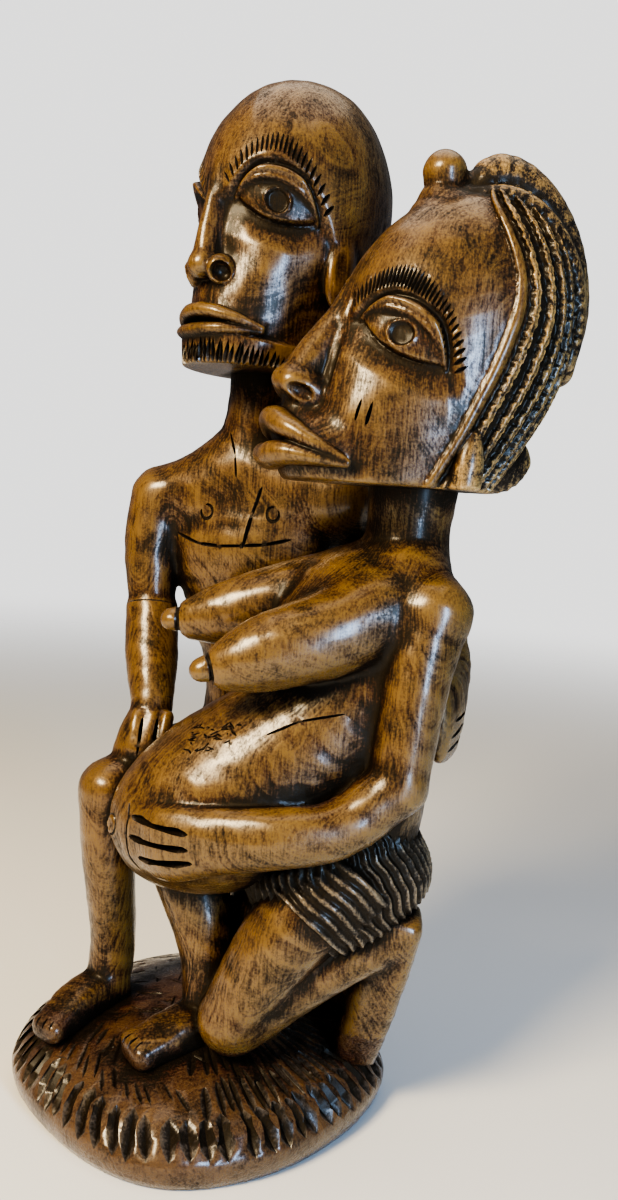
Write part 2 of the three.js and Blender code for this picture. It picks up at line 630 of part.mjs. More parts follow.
function woman() {
  const trunk = limb([
    [52, -25, 106, 24, 24],
    [56, -25, 126, 25, 25],
    [58, -25, 150, 24, 24],
    [60, -25, 174, 25, 23],
    [62, -25, 196, 30, 23],
    [65, -25, 210, 26, 18],
    [67, -25, 221, 16.5, 16],
    [67, -25, 230, 15.5, 15.5],
    [68, -26, 250, 16, 17],
  ], ACROSS_WOMAN, BODY_SIDES);
  const shoulders = limb([
    [60, 0, 200, 12, 13],
    [67, -25, 207, 13, 14],
    [77, -45, 201, 13, 13],
  ], FORWARD);
  const chest = limb([
    [60, -24, 208, 24, 17],
    [46, -28, 203, 25, 18],
    [34, -34, 195, 20, 13],
  ], ACROSS_WOMAN);
  const breasts = [
    limb([
      [58, -43, 199, 14, 17],
      [38, -50, 191, 14, 15.5],
      [18, -55, 184, 12, 13.5],
      [6, -57, 179.5, 8.5, 9],
    ], ACROSS_WOMAN),
    limb([
      [52, -18, 209, 14, 15],
      [26, -20, 202, 13, 13.5],
      [2, -21, 194, 11, 12],
      [-10, -21, 191, 8, 8.5],
    ], ACROSS_WOMAN),
    blob([-1, -57, 178], [5, 4.4, 4.6], 6),
    blob([-18, -21, 190], [5, 4.4, 4.6], 6),
  ];
  const belly = [
    limb([
      [62, -26, 178, 24, 20],
      [44, -26, 158, 28, 28],
      [24, -27, 138, 31, 33],
      [6, -28, 124, 32, 34],
      [-9, -29, 117, 27, 28],
      [-19, -30, 115, 18, 18],
    ], ASIDE, BODY_SIDES + 2),
    blob([-35.5, -36, 113], [2.6, 3, 4.2], 6),
  ];
  const leftArm = limb([
    [76, -44, 201, 14, 14],
    [72, -50, 178, 11.5, 12],
    [68, -53, 140, 10.5, 10.5],
    [48, -59, 125, 9.5, 10.5],
    [26, -63, 121, 9, 11],
    [6, -61, 118, 7.5, 12],
    [-12, -55, 114, 6.5, 14],
    [-25, -43, 112, 5, 11.5],
  ], vec(0.2, -1, 0));
  const fingerGaps = [0, 1, 2].map((i) => gouge(
    vec(-15, -58 + i * 0.4, 121.5 - i * 8.5),
    vec(-0.93, 0.4, 0.1 - i * 0.1),
    vec(-0.5, -0.85, 0),
    26,
    5,
    5,
  ));
  const rightArm = limb([
    [60, -3, 200, 14, 14],
    [58, 6, 176, 11, 11],
    [50, 11, 148, 10.5, 10.5],
    [32, 10, 131, 9, 10],
    [10, 6, 124, 8, 10],
  ], vec(0.2, -1, 0), 7);
  const leg = (dx, dy, lean, sides) => [
    limb([
      [49 + dx, -40 + dy, 98, 18, 19],
      [31 + dx, -43 + dy, 77, 16, 17],
      [14 + dx + lean, -41 + dy, 45, 12.5, 14],
    ], ACROSS_MAN, sides),
    limb([
      [15 + dx + lean, -41 + dy, 43, 11.5, 12],
      [46 + dx, -42 + dy, 65, 9, 9.5],
      [71 + dx, -41 + dy, 81, 8.5, 9.5],
    ], ASIDE, sides),
    limb([
      [73 + dx, -40 + dy, 83, 9, 8.5],
      [68.5 + dx, -31 + dy, 59, 9.5, 9.5],
      [63 + dx, -18 + dy, 28, 9, 9],
    ], ASIDE, sides),
  ];
  return fused([
    trunk, shoulders, chest, ...breasts, ...belly, leftArm, rightArm,
    ...leg(0, 0, 0, LIMB_SIDES), ...leg(-6, 34, 12, LIMB_SIDES - 1), skirt(),
  ]).subtract(fused(fingerGaps));
}

// The pleated wrap: a sloping tube round the hips, its pleats standing out as ridges.
function skirt() {
  const axis = vec(0.5, 0.1, -0.86).normalize();
  const forward = vec(-0.83, -0.22, -0.5).normalize();
  const aside = axis.clone().cross(forward).normalize();
  const ahead = aside.clone().cross(axis);
  const centre = vec(50, -26, 99);
  const rows = [[-17, 30, 28], [-9, 34, 31], [9, 34.5, 32], [17, 30, 29]];
  const rings = rows.map(([along, fore, side], row) => {
    const ring = [];
    for (let s = 0; s < 2 * PLEATS; s += 1) {
      const a = (Math.PI * s) / PLEATS;
      const ridge = (s % 2 ? 0.5 : -0.5) * PLEAT_DEPTH;
      const p = centre.clone().addScaledVector(axis, along);
      p.addScaledVector(ahead, (fore + ridge) * Math.cos(a));
      ring.push(p.addScaledVector(aside, (side + ridge) * Math.sin(a)));
    }
    return ring;
  });
  const [top, bottom] = [-1, 1].map((way) => centre.clone().addScaledVector(axis, way * WRAP_HALF_LENGTH));
  return solidOf(skinOver(rings, top, bottom));
}

// The outer shell alone: what the union leaves sealed inside the block is solid wood.
function outerShell(solid) {
  const shells = solid.decompose();
  return shells.reduce((largest, shell) => (shell.volume() > largest.volume() ? shell : largest));
}

const carving = outerShell(fused([base(), man(), woman(), manHead(), womanHead()]));
const mesh = carving.getMesh();
const surface = new THREE.BufferGeometry();
surface.setAttribute('position', new THREE.BufferAttribute(mesh.vertProperties, 3));
surface.setIndex(new THREE.BufferAttribute(mesh.triVerts, 1));
surface.computeVertexNormals();

const wood = new THREE.MeshStandardMaterial({ color: 0x5d3d1c, roughness: 0.38, metalness: 0 });
const couple = new THREE.Mesh(surface, wood);
couple.name = 'carved_couple';

const sculpture = new THREE.Group();
sculpture.add(couple);
export default sculpture;
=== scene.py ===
"""Dresses the carved couple: the smooth figures, their cut detail and the stained, waxed wood, with painted
shade in its hollows and on the faces.
"""
import math

import bpy
import bmesh
import numpy as np
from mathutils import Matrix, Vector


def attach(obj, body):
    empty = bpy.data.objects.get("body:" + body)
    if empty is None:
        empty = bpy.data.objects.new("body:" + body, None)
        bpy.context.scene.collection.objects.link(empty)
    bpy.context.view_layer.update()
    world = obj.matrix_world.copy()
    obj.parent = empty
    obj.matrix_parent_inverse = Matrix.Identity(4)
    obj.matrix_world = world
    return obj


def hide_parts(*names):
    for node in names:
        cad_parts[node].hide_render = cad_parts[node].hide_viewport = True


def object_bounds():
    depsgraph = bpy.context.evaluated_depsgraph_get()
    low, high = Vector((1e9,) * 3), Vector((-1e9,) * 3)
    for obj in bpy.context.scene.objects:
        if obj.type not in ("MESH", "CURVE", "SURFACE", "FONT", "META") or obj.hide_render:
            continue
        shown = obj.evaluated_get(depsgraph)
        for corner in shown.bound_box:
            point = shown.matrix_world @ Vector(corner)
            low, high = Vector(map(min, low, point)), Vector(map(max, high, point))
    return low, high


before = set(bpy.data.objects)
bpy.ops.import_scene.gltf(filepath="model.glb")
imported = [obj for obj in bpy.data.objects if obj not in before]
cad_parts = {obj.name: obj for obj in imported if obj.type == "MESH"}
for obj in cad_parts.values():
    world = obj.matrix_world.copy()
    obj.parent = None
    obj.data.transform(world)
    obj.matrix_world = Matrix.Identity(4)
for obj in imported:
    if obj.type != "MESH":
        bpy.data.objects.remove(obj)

import openvdb
from mathutils import Matrix, Vector

CAD_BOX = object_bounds()

# Sizes and places are in millimetres, as in the solids. MM turns them into Blender's metres.
MM = 0.001
BODY_STEP = 1.15
HEAD_STEP = 0.55
WRAP_STEP = 0.8
FAR = 60.0
MARGIN_CELLS = 2.5
SKIN_REACH = 9.0
SKIN_STEPS = 60
TRIANGLES = 186_000

# The base, as in the solids: radius and height of its rings, from the foot to the middle of the dome.
BASE_RADIUS = 76.0
BASE_OVAL = 2.2
BASE_CORNERS = 2.4
BASE_CROWN = 35.5
BASE_SIDES = 144
BASE_RINGS = (
    (71.8, 0.0), (73.4, 0.7), (75.0, 3.4), (75.9, 7.0), (75.9, 9.4), (75.1, 11.4), (73.6, 14.2), (71.7, 17.2),
    (69.6, 19.5), (67.2, 21.0), (62.0, 23.6), (56.0, 26.2), (49.0, 28.7), (42.0, 30.8), (32.0, 32.9),
    (21.0, 34.5), (10.0, 35.3),
)
BEVEL_RING = 6
BEVEL_STROKES = 66
BEVEL_STROKE_RADIUS = 72.0
# Fans of strokes on the dome: radius, first and last angle, number, turn to the side and size.
DOME_FANS = (
    (59.5, -82, 22, 31, 0.15, 1.0), (59.0, -172, -86, 17, 0.75, 0.7), (49.0, -150, -100, 8, 0.6, 0.7),
    (46.0, -88, 10, 22, 0.1, 0.75), (58.5, 30, 184, 38, 0.3, 0.8),
)
DOME_CHIPS = 110
DOME_CHIP_SIZE = 0.36

# Heads: a frame each (centre, turn from -X towards -Y, lift of the chin), the level of the jaw, and level
# sections of the skull: height, front, back, half width and where the widest place lies.
MAN_HEAD = dict(at=(15, 20, 357), turn=45, lift=8)
MAN_JAW = 287.0
MAN_SKULL = (
    (46, 3, 5, 4, -1), (41, 19, 21, 18, -1), (27, 33, 35, 29, -1), (11, 40, 42, 34.5, -2),
    (-5, 41.5, 43, 36, -3), (-20, 38.5, 40, 34.5, -4), (-35, 36, 34, 30.5, -4), (-50, 37, 26, 27, -2),
    (-63, 36, 18, 25, 0), (-80, 33, 10, 21, 2),
)
WOMAN_HEAD = dict(at=(77, -30, 303), turn=15, lift=18)
WOMAN_JAW = 245.0
WOMAN_SKULL = (
    (52, 3, 7, 4, -2), (46, 14, 20, 14, -3), (36, 27, 31, 23, -4), (20, 37, 39, 29, -4),
    (4, 41.5, 42, 31.5, -4), (-12, 42, 42, 31.5, -4), (-27, 41, 39, 30.5, -3), (-42, 40, 35, 28.5, -2),
    (-56, 39, 31, 26, 0), (-84, 35, 24, 21, 2),
)

# Features. Angles run from the middle of the face in degrees, heights up from the head's centre.
MAN_EYE = dict(angle=40, height=-15, tilt=-8, half=16, open=13, iris=3.9, lid=5.5, sunk=4.2)
MAN_BROW = dict(angle=40, height=-12.5, spread=27, rise=16, slope=-3)
WOMAN_EYE = dict(angle=50, height=-17, tilt=-12, half=16.5, open=11.6, iris=3.8, lid=5.4, sunk=4.0)
WOMAN_BROW = dict(angle=50, height=-17.5, spread=29, rise=15, slope=-6)
MAN_BROW_STROKES = dict(count=23, length=8.5, fan=5, lift=1.0)
WOMAN_BROW_STROKES = dict(count=34, length=9.5, fan=6, lift=0.7)
CHEEK_SCAR_ANGLES = (46.5, 52.5)
CHEEK_SCAR_HEIGHT = -44
BEARD_STROKES = 64
BEARD_REACH = 112
BEARD_HEIGHT = -73.6
# The millimetres along the skin for a radian of the face, the shares of an eye's opening above and below
# its middle, and the place of the iris from there.
ARC = 36.0
EYE_ABOVE = 0.6
EYE_BELOW = 0.4
IRIS_AT = (0.6, 1.6)

# Her hair: ridges behind a smooth rim, whose line sweeps forward towards the crown.
RIM_LIFT = 1.9
RIM_HALF_WIDTH = 3.6
BRAID_TOP = 2.2
BRAID_FLOOR = -0.4
BRAIDS = 14
HAIRLINE_ANGLE = 95.0
HAIRLINE_SWEEP = 30.0

ACROSS_MAN = (0.966, -0.259, 0)
ACROSS_WOMAN = (0.259, -0.966, 0)
X_AXIS = (1, 0, 0)
Y_AXIS = (0, 1, 0)
Z_AXIS = (0, 0, 1)


class Field:
    """Signed distances on a regular grid, in millimetres: negative inside the wood."""

    def __init__(self, axes, step):
        self.axes = axes
        self.step = step
        self.values = np.full([len(a) for a in axes], FAR, np.float32)

    @classmethod
    def over(cls, low, high, step):
        """An empty field over a box."""
        return cls([np.arange(a, b + step, step, dtype=np.float32) for a, b in zip(low, high)], step)

    def grid(self):
        """The open coordinate grids of all the cells."""
        x, y, z = self.axes
        return x[:, None, None], y[None, :, None], z[None, None, :]

    def along(self, origin, directions):
        """The cells' coordinates along directions from an origin."""
        px, py, pz = (c - o for c, o in zip(self.grid(), origin))
        return [px * d[0] + py * d[1] + pz * d[2] for d in directions]

    def window(self, low, high):
        """The slices and open coordinate grids of the cells inside a box."""
        cut = []
        for axis, a, b in zip(self.axes, low, high):
            first = int(np.clip(math.floor((a - axis[0]) / self.step), 0, len(axis) - 2))
            last = int(np.clip(math.ceil((b - axis[0]) / self.step) + 1, first + 2, len(axis)))
            cut.append(slice(first, last))
        x, y, z = (axis[s] for axis, s in zip(self.axes, cut))
        return tuple(cut), x[:, None, None], y[None, :, None], z[None, None, :]

    def join(self, low, high, shape, blend):
        """Adds a shape with a fillet of about `blend` where it meets the wood."""
        cut, x, y, z = self.window(low, high)
        self.values[cut] = soft_min(self.values[cut], shape(x, y, z), blend)

    def carve(self, low, high, shape, blend):
        """Takes a shape away, its edge eased by `blend`."""
        cut, x, y, z = self.window(low, high)
        self.values[cut] = -soft_min(-self.values[cut], shape(x, y, z), blend)

    def value(self, at):
        """The distance at one point, between the cells."""
        spot = [(p - axis[0]) / self.step for p, axis in zip(at, self.axes)]
        base = [int(np.clip(math.floor(v), 0, len(axis) - 2)) for v, axis in zip(spot, self.axes)]
        part = [v - b for v, b in zip(spot, base)]
        block = self.values[tuple(slice(b, b + 2) for b in base)]
        for t in part:
            block = block[0] * (1 - t) + block[1] * t
        return float(block)

    def skin(self, at, out):
        """The place where a line through `at`, along `out`, leaves the wood."""
        at, out = Vector(at), Vector(out).normalized()
        steps = [SKIN_REACH * (1 - 2 * i / SKIN_STEPS) for i in range(SKIN_STEPS + 1)]
        last = steps[0]
        for step in steps:
            if self.value(at + out * step) < 0:
                return at + out * (step + last) / 2
            last = step
        return at


def soft_min(a, b, blend):
    """The smaller of two distances, rounded over `blend` where they are nearly equal."""
    if blend <= 0:
        return np.minimum(a, b)
    h = np.clip(0.5 + 0.5 * (b - a) / blend, 0, 1)
    return b + (a - b) * h - blend * h * (1 - h)


def spline(stations, per):
    """Points along the Catmull-Rom curve through rows of numbers, `per` to a span."""
    rows = np.array(stations, float)
    rows = np.vstack([2 * rows[0] - rows[1], rows, 2 * rows[-1] - rows[-2]])
    out = []
    for i in range(1, len(rows) - 2):
        p0, p1, p2, p3 = rows[i - 1:i + 3]
        for t in np.arange(per) / per:
            out.append(0.5 * (2 * p1 + (p2 - p0) * t + (2 * p0 - 5 * p1 + 4 * p2 - p3) * t ** 2
                              + (3 * p1 - p0 - 3 * p2 + p3) * t ** 3))
    out.append(rows[-2])
    return np.array(out)


def shared(inner, outer):
    """Where one window lies inside another, counted from the start of the outer one."""
    return tuple(slice(max(i.start - o.start, 0), min(i.stop, o.stop) - o.start)
                 for i, o in zip(inner, outer))


def add_limb(field, stations, across=ACROSS_MAN, blend=3.0, per=4, power=2.0):
    """A rounded limb through stations (x, y, z, half width, half depth); the width runs along `across`.
    A power above 2 squares its section."""
    points = spline(stations, per)
    reach = points[:, 3:5].max() + blend + MARGIN_CELLS * field.step
    low, high = points[:, :3].min(0) - reach, points[:, :3].max(0) + reach
    cut, _, _, _ = field.window(low, high)
    shape = np.full(field.values[cut].shape, FAR, np.float32)
    side = np.array(across, float)
    for a, b in zip(points[:-1], points[1:]):
        span = b[:3] - a[:3]
        length = np.linalg.norm(span)
        tangent = span / length
        wide = side - tangent * (side @ tangent)
        wide /= np.linalg.norm(wide)
        deep = np.cross(tangent, wide)
        near = max(a[3:5].max(), b[3:5].max()) + blend + MARGIN_CELLS * field.step
        inner, xs, ys, zs = field.window(np.minimum(a[:3], b[:3]) - near, np.maximum(a[:3], b[:3]) + near)
        px, py, pz = xs - a[0], ys - a[1], zs - a[2]
        t = np.clip((px * tangent[0] + py * tangent[1] + pz * tangent[2]) / length, 0, 1)
        px, py, pz = px - t * span[0], py - t * span[1], pz - t * span[2]
        half_wide = a[3] + (b[3] - a[3]) * t
        half_deep = a[4] + (b[4] - a[4]) * t
        half_long = np.minimum(half_wide, half_deep)
        u = (px * wide[0] + py * wide[1] + pz * wide[2]) / half_wide
        v = (px * deep[0] + py * deep[1] + pz * deep[2]) / half_deep
        w = (px * tangent[0] + py * tangent[1] + pz * tangent[2]) / half_long
        k0 = np.sqrt(u * u + v * v + w * w)
        k1 = np.sqrt((u / half_wide) ** 2 + (v / half_deep) ** 2 + (w / half_long) ** 2)
        boxed = k0
        if power != 2.0:
            boxed = (np.abs(u) ** power + np.abs(v) ** power + np.abs(w) ** power) ** (1 / power)
        near_by = (k0 * (boxed - 1) / np.maximum(k1, 1e-5)).astype(np.float32)
        place = shared(inner, cut)
        np.minimum(shape[place], near_by[shared(cut, inner)], out=shape[place])
    field.values[cut] = soft_min(field.values[cut], shape, blend)


def ellipsoid(centre, radii, frame_axes=None):
    """A distance function of an ellipsoid, its radii along the rows of `frame_axes`."""
    axes = np.eye(3) if frame_axes is None else np.array(frame_axes, float)

    def shape(x, y, z):
        px, py, pz = x - centre[0], y - centre[1], z - centre[2]
        parts = [(px * a[0] + py * a[1] + pz * a[2]) / r for a, r in zip(axes, radii)]
        k0 = np.sqrt(sum(p * p for p in parts))
        k1 = np.sqrt(sum((p / r) ** 2 for p, r in zip(parts, radii)))
        return (k0 * (k0 - 1) / np.maximum(k1, 1e-5)).astype(np.float32)
    return shape


def blob_box(field, centre, radii, blend):
    """The box that a blob and its fillet stay in."""
    reach = max(radii) + blend + MARGIN_CELLS * field.step
    return np.subtract(centre, reach), np.add(centre, reach)


def add_blob(field, centre, radii, blend, frame_axes=None):
    """Adds a rounded lump."""
    box = blob_box(field, centre, radii, blend)
    field.join(*box, ellipsoid(centre, radii, frame_axes), blend)


def cut_blob(field, centre, radii, blend):
    """Takes a rounded hollow away."""
    field.carve(*blob_box(field, centre, radii, blend), ellipsoid(centre, radii), blend)


def cut_channel(field, stations, across, blend):
    """Takes a limb-shaped channel away."""
    points = np.array(stations, float)
    reach = points[:, 3:5].max() + blend + 3 * field.step
    cut, _, _, _ = field.window(points[:, :3].min(0) - reach, points[:, :3].max(0) + reach)
    tool = Field([axis[s] for axis, s in zip(field.axes, cut)], field.step)
    add_limb(tool, stations, across, blend=0.0)
    field.values[cut] = -soft_min(-field.values[cut], tool.values, blend)


def hand_marks(field, seed, sizes, depth):
    """Waves of a few lengths and directions: the slow unevenness that a knife leaves."""
    x, y, z = field.grid()
    rng = np.random.default_rng(seed)
    out = 0
    for size in sizes:
        way = rng.normal(size=3)
        way *= 2 * math.pi / (size * np.linalg.norm(way))
        out = out + np.sin(x * way[0] + y * way[1] + z * way[2] + rng.uniform(0, 6.28))
    return ((depth / len(sizes)) * out).astype(np.float32)


def mesh_of_field(field):
    """Vertices and quads of the wood's surface."""
    band = 3 * field.step
    values = np.clip(field.values, -band, band).astype(np.float32)
    for axis in range(3):
        edge = [slice(None)] * 3
        for end in (0, -1):
            edge[axis] = end
            values[tuple(edge)] = band
    grid = openvdb.FloatGrid(band)
    grid.copyFromArray(values)
    points, quads = grid.convertToQuads()
    return points.astype(np.float64) * field.step + [axis[0] for axis in field.axes], quads


def new_object(name, points, faces, woods, matrix=None):
    """A mesh object from millimetre points, placed in its mesh; its faces point outwards."""
    points = np.asarray(points, float)
    faces = np.asarray(faces)
    if matrix is not None:
        points = points @ np.array(matrix)[:3, :3].T + np.array(matrix)[:3, 3]
    a, b, c = points[faces[:, 0]], points[faces[:, 1]], points[faces[:, 2]]
    if np.einsum("ij,ij->i", a, np.cross(b, c)).sum() < 0:
        faces = faces[:, ::-1]
    mesh = bpy.data.meshes.new(name)
    mesh.from_pydata((points * MM).tolist(), [], faces.tolist())
    mesh.update()
    for kind in woods:
        mesh.materials.append(kind)
    made = bpy.data.objects.new(name, mesh)
    bpy.context.scene.collection.objects.link(made)
    return made


# ---------------------------------------------------------------- figures
BODY_BOX = ((-80, -82, 20), (114, 82, 300))
# The lengths and the depth of the waves that the knife leaves.
BODY_MARKS = (23, 17, 12, 9, 7, 6)
BODY_MARK_DEPTH = 0.32
HEAD_MARKS = (19, 14, 10, 8, 6)
HEAD_MARK_DEPTH = 0.2


def carve_man():
    """The man from his seat to his neck."""
    field = Field.over(*BODY_BOX, BODY_STEP)
    # The stump that he sits on, his trunk and neck, his shoulders and the chest's two muscles.
    add_limb(field, [
        (28, 31, 27, 26, 24), (29, 33, 48, 28, 26), (27, 34, 74, 26.5, 25), (23, 33, 108, 25, 23),
    ], blend=0)
    add_limb(field, [
        (16, 29, 122, 25, 20), (12, 27, 146, 22, 17), (10, 25, 168, 20.5, 15.5), (8, 22, 194, 28, 17),
        (6, 19, 216, 34, 18.5), (5, 18, 236, 36, 15), (4, 17, 250, 23, 13), (5, 17, 264, 13, 13),
        (8, 18, 294, 13.5, 14),
    ], blend=8)
    add_limb(field, [
        (-31, 26, 236, 12, 13), (-13, 22, 243, 13, 12), (5, 18, 247, 13, 13), (44, 8, 239, 13, 14),
    ], Y_AXIS, blend=9)
    chest = (ACROSS_MAN, (0.259, 0.966, 0), Z_AXIS)
    add_blob(field, (-10.6, 21.7, 235), (18, 14.9, 16), 0.8, chest)
    add_blob(field, (19.4, 13.6, 236), (17, 14.9, 16.5), 0.8, chest)
    # His right arm with creases at elbow and wrist, the back of the hand, and three fingers.
    add_limb(field, [(-33, 26, 235, 12, 13), (-35, 24, 216, 11.5, 12), (-33.5, 21, 193, 9.6, 10)])
    add_limb(field, [(-33, 20, 189, 10.6, 11), (-31, 12, 171, 10.8, 10.8), (-28.3, 2, 154, 8.6, 8.2)],
             blend=0.6)
    add_limb(field, [(-28, 1, 151, 8, 7.6), (-30, -5, 142, 10, 7), (-31, -8, 136, 10.5, 6)], blend=0.8)
    for i, x in enumerate((-33.2, -27.3, -21.8)):
        add_limb(field, [
            (x + 0.8, -5.8, 149, 2.9, 3.6), (x, -8.8, 140, 3.1, 4.2), (x - 0.8, -9.0, 127 + 2 * i, 2.7, 3.6),
        ], X_AXIS, blend=0.6)
    # His left arm, behind her and round to the hand that holds her arm.
    add_limb(field, [
        (38, 10, 238, 14, 13), (62, 20, 217, 11.5, 11), (83, 18, 197, 10, 10), (91, 8, 174, 12, 8),
        (90, -9, 160, 18, 6), (85, -22, 157, 16, 5),
    ], Z_AXIS)
    # Thigh, shin and foot of the right leg, then of the left.
    add_limb(field, [(2, 27, 131, 17, 18), (-20, 10, 128, 13.5, 15), (-41, -8, 119, 11.5, 12)],
             Z_AXIS, blend=6)
    add_limb(field, [
        (-41, -10, 119, 12, 12), (-41, -9, 98, 10.5, 12), (-38, -3, 60, 9, 10), (-38.5, -2, 44, 9, 10),
    ], blend=5)
    add_limb(field, [(-39, -4, 36.5, 8.5, 8.5), (-48, -15, 34, 8.5, 7.5), (-56, -27.5, 29.5, 7.2, 5)],
             blend=1.6, power=3)
    add_limb(field, [(22, 22, 120, 17, 17), (0, 2, 113, 15, 15), (-15, -13, 107, 13, 13)], Z_AXIS, blend=6)
    add_limb(field, [
        (-15, -15, 108, 13.5, 13), (-6, -18, 88, 14, 13), (2, -23, 64, 11, 11), (4, -27, 44, 9.5, 10),
    ], blend=5)
    add_limb(field, [(3.5, -28, 38, 9, 8), (-6, -37, 36.5, 9, 7.5), (-18.5, -46, 33, 8.6, 5.5)],
             blend=1.6, power=3)
    return field


def carve_woman():
    """The woman from her knees to her neck, with both arms about her belly."""
    field = Field.over(*BODY_BOX, BODY_STEP)
    # Her trunk and neck, her shoulders and chest, and the belly.
    add_limb(field, [
        (52, -25, 106, 24, 24), (56, -25, 126, 25, 25), (58, -25, 150, 24, 24), (60, -25, 174, 25, 23),
        (62, -25, 196, 29, 23), (65, -25, 210, 25, 18), (67, -25, 221, 16.5, 16), (67, -25, 230, 15.5, 15.5),
        (68, -26, 250, 16, 17),
    ], ACROSS_WOMAN, blend=0)
    add_limb(field, [(60, 0, 200, 12, 13), (67, -25, 207, 13, 14), (77, -45, 201, 13, 13)], X_AXIS, blend=8)
    add_limb(field, [(60, -24, 208, 24, 17), (46, -28, 203, 25, 18), (34, -34, 195, 20, 13)],
             ACROSS_WOMAN, blend=8)
    add_limb(field, [
        (62, -26, 178, 24, 20), (44, -26, 158, 28, 28), (24, -27, 138, 31, 33), (6, -28, 124, 32, 34),
        (-9, -29, 117, 27, 28), (-19, -30, 115, 18, 18),
    ], Y_AXIS, blend=6)
    # Her breasts with their tips, and the navel's ring.
    add_limb(field, [
        (52, -18, 209, 14, 15), (26, -20, 202, 13, 13.5), (2, -21, 194, 11, 12), (-10, -21, 191, 8, 8.5),
    ], ACROSS_WOMAN)
    add_limb(field, [
        (58, -43, 199, 14, 17), (38, -50, 191, 14, 15.5), (18, -55, 184, 12, 13.5), (6, -57, 179.5, 8.5, 9),
    ], ACROSS_WOMAN)
    for tip, root in (((-3.5, -58.5, 177.5), (2, -56.5, 179)), ((-19.5, -21.5, 190), (-13.5, -21, 190.8))):
        add_limb(field, [(*root, 5.6, 5.4), (*tip, 4.6, 4.2)], blend=0.3)
    add_blob(field, (-33, -39.5, 115), (3.4, 3.4, 5.2), 0.5)
    cut_blob(field, (-36, -42, 115), (2.0, 1.8, 3.0), 0.4)
    # Her near arm down and along the belly to its hand, then the far arm.
    sideways = (0.2, -1, 0)
    add_limb(field, [(76, -44, 201, 14, 14), (72, -50, 178, 11.5, 12), (68, -53, 140, 10.5, 10.5)], sideways)
    add_limb(field, [
        (68, -53, 140, 10.5, 10.5), (48, -59, 125, 9.5, 10.5), (26, -63, 121, 9, 11), (6, -61, 118, 7.5, 12),
        (-12, -55, 114, 6.5, 14), (-25, -43, 112, 5, 11.5),
    ], sideways, blend=2)
    add_limb(field, [
        (60, -3, 200, 14, 14), (58, 6, 176, 11, 11), (50, 11, 148, 10.5, 10.5), (32, 10, 131, 9, 10),
        (10, 6, 124, 8, 10),
    ], sideways)
    # Thigh, calf and foot of each folded leg.
    for dx, dy, lean in ((0, 0, 0), (-6, 34, 12)):
        add_limb(field, [
            (49 + dx, -40 + dy, 98, 18, 19), (31 + dx, -43 + dy, 77, 16, 17),
            (14 + dx + lean, -41 + dy, 45, 12.5, 14),
        ], blend=4)
        add_limb(field, [
            (15 + dx + lean, -41 + dy, 43, 11.5, 12), (46 + dx, -42 + dy, 65, 9, 9.5),
            (71 + dx, -41 + dy, 81, 8.5, 9.5),
        ], Y_AXIS, blend=1.5)
        add_limb(field, [
            (73 + dx, -40 + dy, 83, 9, 8.5), (68.5 + dx, -31 + dy, 59, 9.5, 9.5),
            (63 + dx, -18 + dy, 28, 9, 9),
        ], Y_AXIS, blend=2, power=4)
    return field


def carve_bodies():
    """Both figures without their heads, with a crease where they touch."""
    field = carve_man()
    field.values = soft_min(field.values, carve_woman().values, 1.2)
    field.values += hand_marks(field, 3, BODY_MARKS, BODY_MARK_DEPTH)
    return field


WRAP_BOX = ((8, -76, 60), (98, 22, 138))
WRAP_CENTRE = np.array((50.0, -26.0, 99.0))
WRAP_AXIS = np.array((0.5, 0.1, -0.86))
WRAP_AXIS /= np.linalg.norm(WRAP_AXIS)
WRAP_SIDE = np.cross(WRAP_AXIS, (-0.83, -0.22, -0.5))
WRAP_SIDE /= np.linalg.norm(WRAP_SIDE)
WRAP_FORE = np.cross(WRAP_SIDE, WRAP_AXIS)
WRAP_HALF_DEPTH = 34.0
WRAP_HALF_WIDTH = 31.5
WRAP_HALF_LENGTH = 19.0
WRAP_PLEATS = 52
PLEAT_SHARPNESS = 2.6
HEM_ROOT = np.array((49.0, -40.0, 98.0))
HEM_AXIS = np.array((-18.0, -3.0, -21.0)) / 27.82
HEM_PITCH = 4.6 / (2 * math.pi)
HEM_RADIUS = 20.2
HEM_HALF_LENGTH = 12.5


def wrap_shape(field):
    """The pleated wrap round her hips: a sloping tube with rounded ends."""
    along, fore, side = field.along(WRAP_CENTRE, (WRAP_AXIS, WRAP_FORE, WRAP_SIDE))
    fore, side = fore / WRAP_HALF_DEPTH, side / WRAP_HALF_WIDTH
    radial = (np.sqrt(fore ** 2 + side ** 2) - 1) * WRAP_HALF_WIDTH
    turn = np.arctan2(side, fore)
    wave = 0.5 * np.sin(along / 3.1 + 3 * turn) + 0.3 * np.sin(along / 1.7 + 5 * turn)
    ribs = np.abs(np.cos(0.5 * WRAP_PLEATS * turn + wave)) ** PLEAT_SHARPNESS
    hump = np.clip(np.abs(along) / 18.0, 0, 1.6)
    radial = radial - 1.7 * ribs + 0.9 + 3.4 * hump ** 4
    ends = np.abs(along) - WRAP_HALF_LENGTH + 1.2 * (1 - ribs)
    return np.maximum(radial, ends).astype(np.float32) - 0.3


